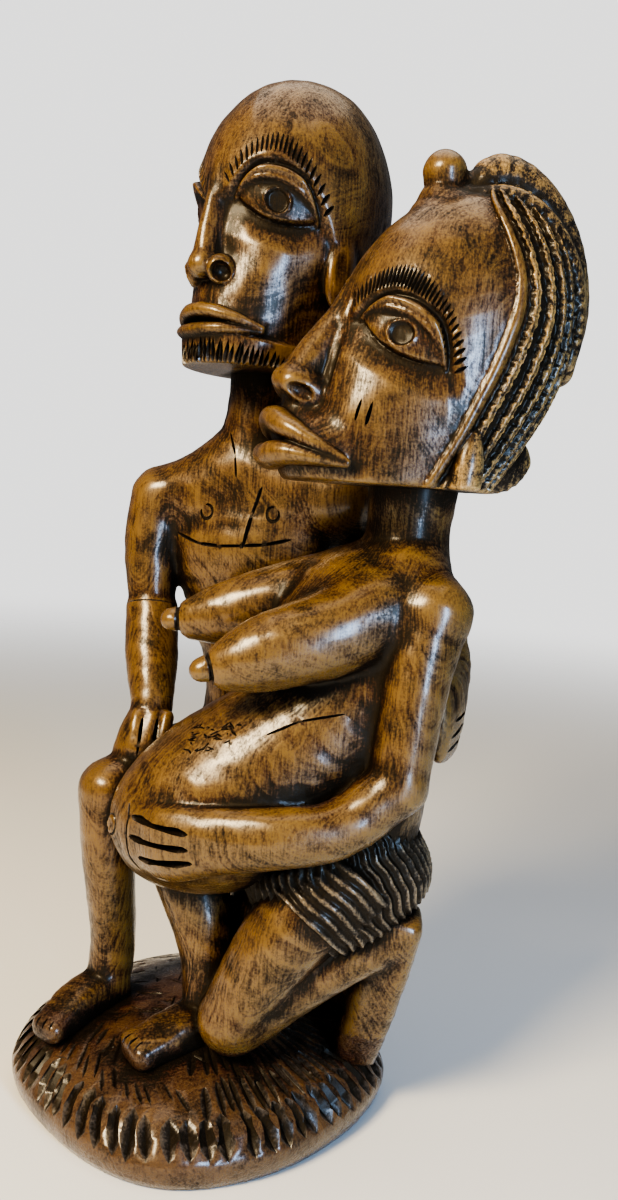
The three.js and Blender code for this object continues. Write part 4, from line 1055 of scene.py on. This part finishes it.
# ---------------------------------------------------------------- joining
def combine(target, other, operation):
    """A boolean on two closed meshes; the other object is used up."""
    change = target.modifiers.new("cut", "BOOLEAN")
    change.operation = operation
    change.solver = "MANIFOLD"
    change.material_mode = "TRANSFER"
    change.object = other
    take_result(target, change)
    bpy.data.objects.remove(other)


def base_reach(radius, a):
    """How far the base reaches at an angle: a little oval, with four blunt corners."""
    swell = BASE_CORNERS * math.cos(4 * a) - BASE_OVAL * math.cos(2 * a)
    return radius * (1 + swell / BASE_RADIUS)


def base_block():
    """The base: a low rounded band, a steep bevel and a domed top."""
    count = BASE_SIDES
    rings = []
    rng = np.random.default_rng(11)
    waves = [(k, rng.uniform(0, 6.28), rng.uniform(0.1, 0.35)) for k in (3, 5, 7, 11)]
    for radius, height in BASE_RINGS:
        for i in range(count):
            a = 2 * math.pi * i / count
            uneven = sum(size * math.sin(k * a + turn + height * 0.15) for k, turn, size in waves) - 0.6
            reach = base_reach(radius, a) + uneven * min(radius / BASE_RADIUS, 1)
            rings.append((reach * math.cos(a), reach * math.sin(a), height))
    top, bottom = len(rings), len(rings) + 1
    faces = []
    for r in range(len(BASE_RINGS) - 1):
        for i in range(count):
            j = (i + 1) % count
            a, b = r * count, (r + 1) * count
            faces.append((a + i, a + j, b + j))
            faces.append((a + i, b + j, b + i))
    last = (len(BASE_RINGS) - 1) * count
    for i in range(count):
        j = (i + 1) % count
        faces.append((last + i, last + j, top))
        faces.append((j, i, bottom))
    return new_object("base", rings + [(0, 0, BASE_CROWN), (0, 0, 0)], faces, [BASE_WOOD])


def uneven_size(rng, spread, size=1.0):
    """A scale near `size` that differs along the three ways."""
    return Vector(rng.uniform(1 - spread, 1 + spread, 3)) * size


def base_spot(radius, a, sideways):
    """A mark on the base's skin at a radius: it runs outwards, turned by `sideways`."""
    radii, heights = np.array(BASE_RINGS[BEVEL_RING:]).T
    height = float(np.interp(-radius, -radii, heights))
    fall = float(np.interp(-(radius - 3), -radii, heights)) - height
    out = Vector((math.cos(a), math.sin(a), 0))
    side = Vector((-math.sin(a), math.cos(a), 0))
    down = (out * 3 - Vector((0, 0, fall))).normalized()
    normal = down.cross(side).normalized()
    if normal.z < 0:
        normal = -normal
    at = out * base_reach(radius, a) + Vector((0, 0, height))
    return at, (down + side * sideways).normalized(), normal.normalized()


def base_marks():
    """Gouge strokes up the bevel all round, and the fans of strokes and chips on the dome."""
    rng = np.random.default_rng(4)
    bevel, dome = [], []
    for i in range(BEVEL_STROKES):
        a = 2 * math.pi * (i + rng.uniform(-0.2, 0.2)) / BEVEL_STROKES
        at, along, out = base_spot(BEVEL_STROKE_RADIUS, a, 0.2 + rng.uniform(-0.1, 0.1))
        bevel.append((at - out * 0.9, along, out, uneven_size(rng, 0.16)))
    for radius, start, end, number, sideways, size in DOME_FANS:
        for i in range(number):
            a = math.radians(start + (end - start) * (i + rng.uniform(-0.25, 0.25)) / number)
            scale = uneven_size(rng, 0.25, size)
            spot = base_spot(radius + rng.uniform(-2, 2), a, sideways + rng.uniform(-0.06, 0.06))
            dome.append((*spot, scale))
    for _ in range(DOME_CHIPS):
        a, radius = rng.uniform(-math.pi, math.pi), rng.uniform(14, 66)
        scale = uneven_size(rng, 0.45, DOME_CHIP_SIZE)
        dome.append((*base_spot(radius, a, rng.uniform(-2, 2)), scale))
    return bevel, dome


def turned(matrix, marks):
    """Marks on a head moved from its own frame to the carving's."""
    spin = matrix.to_3x3()
    return [(matrix @ Vector(p), spin @ Vector(a), spin @ Vector(o), size) for p, a, o, size in marks]


def brow_marks(skull, brow, count, length, fan, lift):
    """Leaf-shaped strokes that stand along the brow and fan out from it."""
    marks = []
    for side in (1, -1):
        for i in range(count):
            s = 2 * i / (count - 1) - 1
            angle = side * (brow["angle"] + s * brow["spread"])
            height = brow_height(brow, s)
            reach = length * (1 - 0.2 * abs(s) ** 3)
            sunk = lift - 1.0 * max(s, 0) ** 2
            root = skin_point(skull, angle, height, sunk)
            tip = skin_point(skull, angle + side * s * fan, height + reach * (1 - 0.25 * s * s), sunk)
            out = skin_point(skull, angle, height, 6) - root
            marks.append(((root + tip) / 2, (tip - root).normalized(), out.normalized(),
                          (1, 1, (tip - root).length / length)))
    return marks


def beard_marks():
    """Upright strokes round the jaw."""
    marks = []
    rng = np.random.default_rng(8)
    up = Vector(Z_AXIS)
    last = BEARD_STROKES - 1
    for i in range(BEARD_STROKES):
        angle = -BEARD_REACH + 2 * BEARD_REACH * (i + rng.uniform(-0.2, 0.2)) / last
        height = BEARD_HEIGHT + rng.uniform(-0.6, 0.6)
        at = skin_point(MAN_SKULL, angle, height, 3.2)
        out = skin_point(MAN_SKULL, angle, height, 8) - at
        aside = up.cross(out).normalized() * rng.uniform(-0.1, 0.1)
        marks.append((at, up + aside, out.normalized(), uneven_size(rng, 0.2)))
    return marks


def scar_marks():
    """Two upright cuts on each of her cheeks."""
    marks = []
    for side in (1, -1):
        for angle in CHEEK_SCAR_ANGLES:
            at, foot, tip = (skin_point(WOMAN_SKULL, side * angle, CHEEK_SCAR_HEIGHT, lift)
                             for lift in (0.6, 0, 5))
            marks.append((at, Vector((0.05, 0, 1)).normalized(), (tip - foot).normalized(), (1, 1, 1)))
    return marks


def toe_marks():
    """The cuts between the toes."""
    marks = []
    up = Vector(Z_AXIS)
    for tip, heading in TOES:
        heading = Vector(heading).normalized()
        aside = up.cross(heading).normalized()
        for i in (-1, 0, 1):
            at = Vector(tip) + heading * 3 + aside * 3.6 * i
            marks.append((at, (heading + aside * 0.14 * i).normalized(), up, (1, 1, 1)))
    return marks


def cut_along(field, rows, out, width=1.0, depth=1.0, length=10.0):
    """Cuts through rows of points on the wood's skin: a stroke on each span, a little longer than it."""
    marks = []
    for points in rows:
        spots = [field.skin(p, out) for p in points]
        for a, b in zip(spots[:-1], spots[1:]):
            marks.append(((a + b) / 2, (b - a).normalized(), Vector(out).normalized(),
                          (depth, width, 1.3 * (b - a).length / length)))
    return marks


def torn_patch(field):
    """Short crossing cracks on her belly."""
    rng = np.random.default_rng(6)
    marks = []
    for _ in range(TORN_CRACKS):
        at = Vector((rng.uniform(-9, 11), -45, rng.uniform(142, 156)))
        reach = Vector((rng.uniform(-3.0, 3.5), 0, rng.uniform(-3.0, 2.0)))
        marks += cut_along(field, [(at, at + reach)], (-0.3, -0.75, 0.5), width=0.7, depth=0.7)
    return marks


def ring_cutter(name, rings):
    """Thin rings (centre, axis, radius, thickness, squash) as one cutter, for nipples and joints."""
    around, thick = RING_SIDES
    points, faces = [], []
    for centre, axis, radius, wire, squash in rings:
        axis = Vector(axis).normalized()
        side = (axis.orthogonal() if abs(axis.z) > 0.9 else Vector(Z_AXIS).cross(axis)).normalized()
        up = axis.cross(side)
        start = len(points)
        for i in range(around):
            a = 2 * math.pi * i / around
            out = side * math.cos(a) * squash + up * math.sin(a)
            for j in range(thick):
                b = 2 * math.pi * j / thick
                reach = radius + wire * math.cos(b)
                points.append(Vector(centre) + out * reach + axis * wire * math.sin(b))
        for i in range(around):
            for j in range(thick):
                a, b = start + i * thick, start + ((i + 1) % around) * thick
                k = (j + 1) % thick
                faces.append((a + j, b + j, b + k, a + k))
    return new_object(name, points, faces, [CUT_WOOD])


# Rows of points for the cuts on the bodies, and the ways that these parts of the skin face.
TOES = (((-57.5, -31, 33), (-0.52, -0.85, -0.35)), ((-20.5, -48.5, 37.5), (-0.8, -0.6, -0.25)))
CHEST_FRONT = (-0.259, -0.966, 0)
CHEST_LINE = ((-22.5, 14, 221.3), (-13.6, 8.4, 218.2), (-5.1, 4.1, 217.8), (4.3, 1.5, 218.6),
              (12.9, 0.1, 219.6), (22.8, 0.6, 222.1))
CHEST_FURROW = ((10.4, 1.8, 241.2), (7.2, 1.8, 231), (4.7, 1.4, 219))
NECK_CRACK = ((-3.6, 6.8, 262.2), (-1, 4.6, 254.3), (0, 4.2, 246))
BELLY_CRACK = ((21.6, -52.6, 155.3), (31.8, -52.5, 160.4), (46.4, -52.5, 163.9))
HER_FINGERS = (
    ((-23.5, -51, 121.6), (-5, -63.5, 121.2)), ((-24, -51, 114.2), (-5, -64, 115.4)),
    ((-20, -52.6, 107.4), (-3.5, -64, 110.4)),
)
HER_FINGERTIPS = ((-22, -43, 125), (-26, -48, 120.6), (-27, -48.4, 113.7), (-25, -47.2, 105.6),
                  (-19, -47, 101))
FINGERS_AT_HER_ARM = (
    ((98.5, 2, 163), (97.5, -8, 160.5), (93.5, -20, 158.5)),
    ((96.5, 0, 157.5), (95.5, -10, 155.5), (91, -22, 152.5)),
    ((95, -2, 151.5), (93, -12, 149.5), (89, -22, 147)),
)
FINGERS_ON_KNEE = (
    ((-30, -9, 148), (-30.3, -13, 139), (-31, -12, 128)),
    ((-24.2, -8, 148), (-24.6, -12, 140), (-25.6, -13, 130)),
)
NAVEL_FRONT = (-0.8, -0.6, 0)


def body_cuts(bodies):
    """The cuts on both bodies: name, marks, and the length, width and depth of a stroke."""
    grips = (cut_along(bodies, FINGERS_AT_HER_ARM, (1, -0.25, 0))
             + cut_along(bodies, FINGERS_ON_KNEE, (-0.1, -1, 0), width=0.8)
             + cut_along(bodies, [HER_FINGERTIPS], (-0.75, -0.65, 0), width=0.6, depth=0.5))
    cracks = (cut_along(bodies, [NECK_CRACK], CHEST_FRONT)
              + cut_along(bodies, [BELLY_CRACK], (-0.2, -0.9, 0.3)) + torn_patch(bodies))
    return (
        ("her_fingers", cut_along(bodies, HER_FINGERS, (-0.62, -0.78, 0), length=20), 20.0, 4.2, 3.4),
        ("his_grip", grips, 10.0, 2.2, 2.4),
        ("cheek_scars", turned(head_matrix(WOMAN_HEAD), scar_marks()), 8.8, 2.0, 2.2),
        ("chest_line", cut_along(bodies, [CHEST_LINE], CHEST_FRONT), 10.0, 1.7, 1.4),
        ("chest_furrow", cut_along(bodies, [CHEST_FURROW], CHEST_FRONT), 10.0, 2.0, 1.6),
        ("cracks", cracks, 10.0, 1.2, 1.1),
    )


def head_and_base_cuts():
    """The cuts on the base, the brows, the beard and the toes, in the same form."""
    bevel, dome = base_marks()
    man, woman = head_matrix(MAN_HEAD), head_matrix(WOMAN_HEAD)
    man_brow = brow_marks(MAN_SKULL, MAN_BROW, **MAN_BROW_STROKES)
    woman_brow = brow_marks(WOMAN_SKULL, WOMAN_BROW, **WOMAN_BROW_STROKES)
    return (
        ("bevel_strokes", bevel, 20.0, 6.6, 2.2),
        ("dome_strokes", dome, 18.0, 3.6, 1.4),
        ("man_brow", turned(man, man_brow), 9.5, 2.3, 1.6),
        ("woman_brow", turned(woman, woman_brow), 10.0, 2.0, 1.5),
        ("beard", turned(man, beard_marks()), 18.5, 2.3, 1.5),
        ("toes", toe_marks(), 10.0, 1.4, 2.2),
    )


def make_carving():
    """The whole carving as one mesh: bodies, wrap, heads and base joined, then all the cuts."""
    bodies = carve_bodies()
    carving = new_object("carved_couple_wood", *mesh_of_field(bodies),
                         [SKIN_WOOD, HAIR_WOOD, BASE_WOOD, CUT_WOOD, WRAP_WOOD])
    heads = []
    for name, (field, matrix) in (("man_head", carve_man_head()), ("woman_head", carve_woman_head())):
        heads.append(new_object(name, *mesh_of_field(field), [SKIN_WOOD], matrix))
    wrap = new_object("wrap", *mesh_of_field(carve_wrap()), [WRAP_WOOD])
    for piece in (wrap, *heads, base_block()):
        combine(carving, piece, "UNION")
    for name, marks, length, width, depth in (*head_and_base_cuts(), *body_cuts(bodies)):
        combine(carving, strokes(name, marks, length, width, depth), "DIFFERENCE")
    # The rings of his nipples, wrist and elbow, of her nipples and of the navel.
    rings = (
        (bodies.skin((-11.1, 8, 231.2), CHEST_FRONT), (-0.42, -0.9, 0.08), 2.9, 0.75, 0.85),
        (bodies.skin((15.8, 1.2, 231.9), CHEST_FRONT), (-0.1, -1, 0.05), 2.9, 0.75, 0.85),
        ((-28.2, 1.6, 153.3), (0.13, -0.5, -0.86), 8.9, 0.5, 1.0),
        ((-33.2, 20.6, 190.5), (0.05, -0.3, -1), 10.8, 0.35, 1.0),
        ((-1.2, -57.7, 178.1), (0.95, 0.3, 0.26), 5.5, 1.15, 1.0),
        ((-16.9, -21.2, 190.3), (1, 0, 0.1), 5.5, 1.15, 1.0),
        (bodies.skin((-36, -42, 115.5), NAVEL_FRONT), NAVEL_FRONT, 3.9, 0.6, 0.8),
    )
    combine(carving, ring_cutter("rings", rings), "DIFFERENCE")
    return carving


def lighten(carving, limit):
    """Fewer faces where the wood is smooth; every cut keeps its edges."""
    bm = bmesh.new()
    bm.from_mesh(carving.data)
    bmesh.ops.triangulate(bm, faces=bm.faces)
    bm.to_mesh(carving.data)
    count = len(bm.faces)
    bm.free()
    if count > limit:
        fewer = carving.modifiers.new("fewer", "DECIMATE")
        fewer.ratio = limit / count
        take_result(carving, fewer)


def read(items, key, width=1, kind=np.float32):
    """A value, or a row of values, from each of a mesh's items."""
    values = np.empty(len(items) * width, kind)
    items.foreach_get(key, values)
    return values.reshape(-1, width) if width > 1 else values


def keep_in_box(carving):
    """Holds every point inside the solid model's box."""
    mesh = carving.data
    points = np.clip(read(mesh.vertices, "co", 3), np.array(CAD_BOX[0]), np.array(CAD_BOX[1]))
    mesh.vertices.foreach_set("co", points.astype(np.float32).ravel())
    mesh.update()


# ---------------------------------------------------------------- painted shade, and where the stain stays dark
# Levels of the mouth's slit, its fall towards the corners and the chin's crease, where painted shade lies.
MAN_LIPS = dict(slit=-59.6, fall=2.5, chin=-66.5)
WOMAN_LIPS = dict(slit=-62.0, fall=0.5, chin=-73.5)
# How dark each place of a face is painted: ball and iris of the eye darker, painted shade under the lower lid
# with its drop, in the lid's crease and beside the nose.
MAN_DEPTHS = dict(ball=0.75, iris=0.2, under=1.0, drop=2.2, crease=1.0, nose=0.6)
WOMAN_DEPTHS = dict(ball=0.45, iris=0.8, under=1.1, drop=1.4, crease=1.25, nose=1.0)
# His two feet, darker, and the front of his neck, in painted shadow of his head.
DARK_SPOTS = ((-50, -19, 33), (-9, -40, 36), (12, 12, 272))
SHADE_STEP = 1.6
SHADE_MARGIN = 24


def on_head(points, place, skull):
    """Points in a head's own frame, with their angle from the face and how far off the skin they are."""
    back = np.array(head_matrix(place).inverted())
    local = points @ back[:3, :3].T + back[:3, 3]
    front, rear, half, wide = skull_rows(skull, np.clip(local[:, 2], skull[-1][0], skull[0][0] - 0.5))
    dx = local[:, 0] - wide
    reach = np.where(dx > 0, front, rear)
    angle = np.degrees(np.arctan2(local[:, 1] / half, dx / reach))
    return local, angle, np.hypot(dx / reach, local[:, 1] / half)


def face_darkening_and_painted_shade(points, place, skull, eye, lips, depth):
    """How much darker a face is painted: the eye and iris darker, and painted shade under and over the lids,
    beside the nose and in the mouth and chin creases.
    """
    local, angle, away = on_head(points, place, skull)
    forward, aside, height = local.T
    u, v = across_eye(eye, np.where(angle > 0, 1, -1) * angle, height)
    s = np.clip(u / eye["half"], -1.5, 1.5)
    _, upper, lower, lid = lid_lines(eye, s, v)
    wide = step_up(1.25 - np.abs(s), 0.4)
    inside = step_up(upper - v, 1.2) * step_up(v - lower, 1.2) * step_up(1 - np.abs(s), 0.2)
    iris = np.hypot(u - IRIS_AT[0], v - IRIS_AT[1])
    darkening = depth["ball"] * inside + depth["iris"] * step_up(eye["iris"] + 0.2 - iris, 0.8) * inside
    nose = bump(np.abs(aside) - 10, 2.0) * step_up(height + 40, 4) * step_up(-4 - height, 5)
    slit = bump(height - lips["slit"] + lips["fall"] * (np.abs(aside) / 20) ** 2, 1.1)
    chin = bump(height - lips["chin"], 2.2)
    near_mouth = (forward > 18) & (np.abs(aside) < 24)
    # Painted shade under the lower lid, in the lid's creases, along the upper lid's edge, beside the nose,
    # and in the mouth's slit and the chin's crease.
    for line in (
            depth["under"] * bump(v - lower + depth["drop"], depth["drop"]) * wide,
            depth["crease"] * bump(lid - 1.2, 1.6) * wide,
            0.6 * depth["crease"] * bump(lid - 4.5, 3.0) * wide,
            1.1 * bump(v - upper - 0.2, 0.9) * step_up(1.05 - np.abs(s), 0.3),
            depth["nose"] * nose * (forward > 25),
            np.maximum(1.3 * slit, 0.9 * chin) * near_mouth):
        darkening = np.maximum(darkening, line)
    return darkening * (away > 0.55) * (away < 1.7) * (np.abs(aside) < 45)


def darkening_and_painted_shade(points):
    """The painted darkening on the faces and the dark spots: painted shade round the lids, nose and mouth,
    darker eyes and feet, and painted shadow on the front of his neck.
    """
    on_man = (on_head(points, MAN_HEAD, MAN_SKULL)[2] < 1.35) & (points[:, 2] > MAN_JAW - 2)
    on_woman = (on_head(points, WOMAN_HEAD, WOMAN_SKULL)[2] < 1.5) & (points[:, 2] > WOMAN_JAW)
    man_darkening = face_darkening_and_painted_shade(points, MAN_HEAD, MAN_SKULL, MAN_EYE, MAN_LIPS, MAN_DEPTHS)
    woman_darkening = face_darkening_and_painted_shade(points, WOMAN_HEAD, WOMAN_SKULL, WOMAN_EYE, WOMAN_LIPS, WOMAN_DEPTHS)
    darkening = np.where(on_woman, woman_darkening, np.where(on_man, man_darkening, 0))
    # Darker round his feet, and painted shadow of his head on his neck.
    for spot in DARK_SPOTS:
        darkening = np.maximum(darkening, 0.55 * step_up(21 - np.linalg.norm(points - spot, axis=1), 12))
    return darkening


def wood_share(points, corners, low):
    """How much of each cell round the carving is wood."""
    grid = openvdb.FloatGrid.createLevelSetFromPolygons(
        points - low, triangles=corners.astype(np.uint32),
        transform=openvdb.createLinearTransform(voxelSize=SHADE_STEP), halfWidth=3)
    size = np.ceil((points.max(0) + SHADE_MARGIN - low) / SHADE_STEP).astype(int)
    values = np.full(size, 3 * SHADE_STEP, np.float32)
    grid.copyToArray(values)
    return np.clip(0.5 - values / (2 * SHADE_STEP), 0, 1)


def blurred(block, sigma):
    reach = int(3 * sigma / SHADE_STEP)
    kernel = np.exp(-0.5 * (np.arange(-reach, reach + 1) * SHADE_STEP / sigma) ** 2)
    kernel /= kernel.sum()
    for axis in range(3):
        total = np.zeros_like(block)
        for shift, weight in zip(range(-reach, reach + 1), kernel):
            total += weight * np.roll(block, shift, axis)
        block = total
    return block


def sample(block, spot):
    """A block's values at places given in cells."""
    base = np.clip(np.floor(spot).astype(int), 0, np.array(block.shape) - 2)
    part = spot - base
    total = np.zeros(len(spot))
    for corner in range(8):
        offset = np.array([(corner >> k) & 1 for k in range(3)])
        weight = np.prod(np.where(offset, part, 1 - part), axis=1)
        i, j, k = (base + offset).T
        total += weight * block[i, j, k]
    return total


def neighbour_mean(values, edges, degree):
    out = np.zeros_like(values)
    for axis in range(values.shape[1]):
        column = values[:, axis]
        out[:, axis] = (np.bincount(edges[:, 0], column[edges[:, 1]], len(values))
                        + np.bincount(edges[:, 1], column[edges[:, 0]], len(values)))
    return out / degree[:, None]


def mark_relief(carving):
    """Stores how far each point stands above or below its surroundings, and how enclosed it is: painted shade
    with the stain kept in the hollows, together with the faces' and spots' painted darkening.
    """
    mesh = carving.data
    count = len(mesh.vertices)
    points = read(mesh.vertices, "co", 3).astype(np.float64) / MM
    normals = read(mesh.vertices, "normal", 3)
    corners = read(mesh.loops, "vertex_index", kind=np.int32).reshape(-1, 3)
    low = points.min(0) - SHADE_MARGIN
    solid = wood_share(points, corners, low)
    broad = sample(blurred(solid, 7.0), (points + normals * 4.0 - low) / SHADE_STEP)
    middle = sample(blurred(solid, 3.0), (points + normals * 1.0 - low) / SHADE_STEP)
    # Painted shade where the wood is enclosed, with the stain kept in the hollows, and the painted darkening
    # of faces and spots.
    hollow_stain_and_painted_shade = np.maximum(np.clip((broad - 0.26) / 0.34, 0, 1), darkening_and_painted_shade(points))
    edges = read(mesh.edges, "vertices", 2, np.int32)
    degree = np.maximum(np.bincount(edges.ravel(), minlength=count), 1)
    smooth = points
    for _ in range(3):
        smooth = neighbour_mean(smooth, edges, degree)
    fine = np.einsum("ij,ij->i", points - smooth, normals)
    a, b, c = (points[column] for column in corners.T)
    area = np.linalg.norm(np.cross(b - a, c - a), axis=1)
    share = np.bincount(corners.ravel(), np.repeat(area, 3), count)

    def usual(column):
        """The value that half of the surface stays below."""
        order = np.argsort(column)
        total = np.cumsum(share[order])
        return column[order[np.searchsorted(total, total[-1] / 2)]]

    relief = 0.5 + 0.26 * np.tanh((fine - usual(fine)) / 0.2) - 0.9 * (middle - usual(middle))
    for label, column in (("relief", relief), ("hollow_stain_and_painted_shade", hollow_stain_and_painted_shade)):
        data = mesh.attributes.new(label, "FLOAT", "POINT").data
        data.foreach_set("value", np.clip(column, 0, 1.3).astype(np.float32))


def assign_woods(carving):
    """Hair and base take their own wood; what the gouges cut keeps its own."""
    mesh = carving.data
    names = [m.name if m else "" for m in mesh.materials]
    skin, hair, base = (names.index(m.name) for m in (SKIN_WOOD, HAIR_WOOD, BASE_WOOD))
    kinds = read(mesh.polygons, "material_index", kind=np.int32)
    centres = read(mesh.polygons, "center", 3) / MM
    local, angle, _ = on_head(centres, WOMAN_HEAD, WOMAN_SKULL)
    forward, aside, height = local.T
    in_head = (centres[:, 2] > WOMAN_JAW - 1) & (np.abs(aside) < 45) & (forward > -60) & (forward < 64)
    man = np.array(head_matrix(MAN_HEAD).inverted())
    x, y, z = (centres @ man[:3, :3].T + man[:3, 3]).T
    in_head &= np.sqrt((x / 46) ** 2 + (y / 39) ** 2 + ((z + 8) / 58) ** 2) >= 1
    is_hair = in_head & (np.abs(angle) > hairline(height) + 9) & (forward < 30)
    is_hair |= in_head & (height > 43) & (forward < 15)
    kinds[(kinds == skin) & is_hair] = hair
    kinds[(kinds == skin) & (centres[:, 2] < 36)] = base
    mesh.polygons.foreach_set("material_index", kinds)


carving = make_carving()
lighten(carving, TRIANGLES)
keep_in_box(carving)
mark_relief(carving)
assign_woods(carving)
carving.data.shade_smooth()
carving.data.set_sharp_from_angle(angle=math.radians(48))
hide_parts("carved_couple")
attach(carving, "root")


# ---------------------------------------------------------------- floor, light, camera
FLOOR_RADIUS = 2.2
FLOOR_COLOUR = (0.78, 0.775, 0.765, 1)
ROOM_COLOUR = (0.8, 0.87, 1.0, 1)
ROOM_STRENGTH = 0.14
WALL_COLOUR = (0.93, 0.925, 0.915, 1)
WALL_STRENGTH = 1.5
CAMERA_AT = (0.032, -0.423, 0.236)
CAMERA_PITCH = math.radians(5)
CAMERA_ROLL = math.radians(4)
CAMERA_LENS = 32.01


def add_floor():
    """A pale round floor that fades out before its edge."""
    bm = bmesh.new()
    bmesh.ops.create_circle(bm, cap_ends=True, segments=64, radius=FLOOR_RADIUS)
    mesh = bpy.data.meshes.new("floor")
    bm.to_mesh(mesh)
    bm.free()
    floor = bpy.data.objects.new("floor", mesh)
    bpy.context.scene.collection.objects.link(floor)
    pale = bpy.data.materials.new("pale_floor")
    pale.use_nodes = True
    tree = pale.node_tree
    shader = tree.nodes["Principled BSDF"]
    set_inputs(shader, Base_Color=FLOOR_COLOUR, Roughness=0.7)
    coords = placed(tree, "ShaderNodeTexCoord", (-800, -200))
    length = placed(tree, "ShaderNodeVectorMath", (-600, -200), operation="LENGTH")
    tree.links.new(coords.outputs["Object"], length.inputs[0])
    fade = placed(tree, "ShaderNodeMapRange", (-400, -200), interpolation_type="SMOOTHSTEP")
    set_inputs(fade, From_Min=FLOOR_RADIUS * 0.2, From_Max=FLOOR_RADIUS * 0.95, To_Min=1.0, To_Max=0.0)
    tree.links.new(length.outputs["Value"], fade.inputs["Value"])
    tree.links.new(fade.outputs["Result"], shader.inputs["Alpha"])
    mesh.materials.append(pale)


def add_world():
    """A pale room: bright where the camera looks at it, dimmer as a light."""
    world = bpy.data.worlds.new("studio")
    world.use_nodes = True
    tree = world.node_tree
    room = tree.nodes["Background"]
    wall = placed(tree, "ShaderNodeBackground", (0, -200))
    set_inputs(room, Color=ROOM_COLOUR, Strength=ROOM_STRENGTH)
    set_inputs(wall, Color=WALL_COLOUR, Strength=WALL_STRENGTH)
    path = placed(tree, "ShaderNodeLightPath", (-200, 300))
    mix = placed(tree, "ShaderNodeMixShader", (200, 0))
    for source, socket in zip((path.outputs["Is Camera Ray"], room.outputs[0], wall.outputs[0]), mix.inputs):
        tree.links.new(source, socket)
    tree.links.new(mix.outputs[0], tree.nodes["World Output"].inputs["Surface"])
    bpy.context.scene.world = world


def add_light(name, at, aim, size, watts, colour):
    light = bpy.data.lights.new(name, "AREA")
    light.shape = "RECTANGLE"
    light.size, light.size_y = size
    light.energy = watts
    light.color = colour
    lamp = bpy.data.objects.new(name, light)
    lamp.location = at
    lamp.rotation_euler = (Vector(aim) - Vector(at)).to_track_quat("-Z", "Y").to_euler()
    bpy.context.scene.collection.objects.link(lamp)


def set_camera():
    """The photograph's own viewpoint: close, a little above the middle, tilted and rolled."""
    forward = Vector((0, math.cos(CAMERA_PITCH), -math.sin(CAMERA_PITCH)))
    right = Vector(X_AXIS)
    up = right.cross(forward)
    side = math.cos(CAMERA_ROLL) * right + math.sin(CAMERA_ROLL) * up
    crown = math.cos(CAMERA_ROLL) * up - math.sin(CAMERA_ROLL) * right
    data = bpy.data.cameras.new("camera")
    data.sensor_fit = "VERTICAL"
    data.sensor_height = 36
    data.lens = CAMERA_LENS
    data.clip_start = 0.01
    camera = bpy.data.objects.new("camera", data)
    turn = Matrix((side, crown, -forward)).transposed().to_4x4()
    camera.matrix_world = Matrix.Translation(CAMERA_AT) @ turn
    bpy.context.scene.collection.objects.link(camera)
    bpy.context.scene.camera = camera


add_floor()
add_world()
add_light("cool_window", (0.5, -0.8, 0.3), (0.04, 0, 0.2), (0.12, 0.4), 10, (0.42, 0.66, 1.0))
add_light("warm_lamp", (-0.5, -0.7, 0.82), (0.0, 0, 0.22), (0.34, 0.34), 27, (1.0, 0.8, 0.5))
add_light("top", (0.05, 0.1, 1.25), (0.03, 0, 0.2), (1.0, 1.0), 6, (1.0, 0.9, 0.75))
bpy.context.scene.view_settings.look = "AgX - Medium High Contrast"
set_camera()
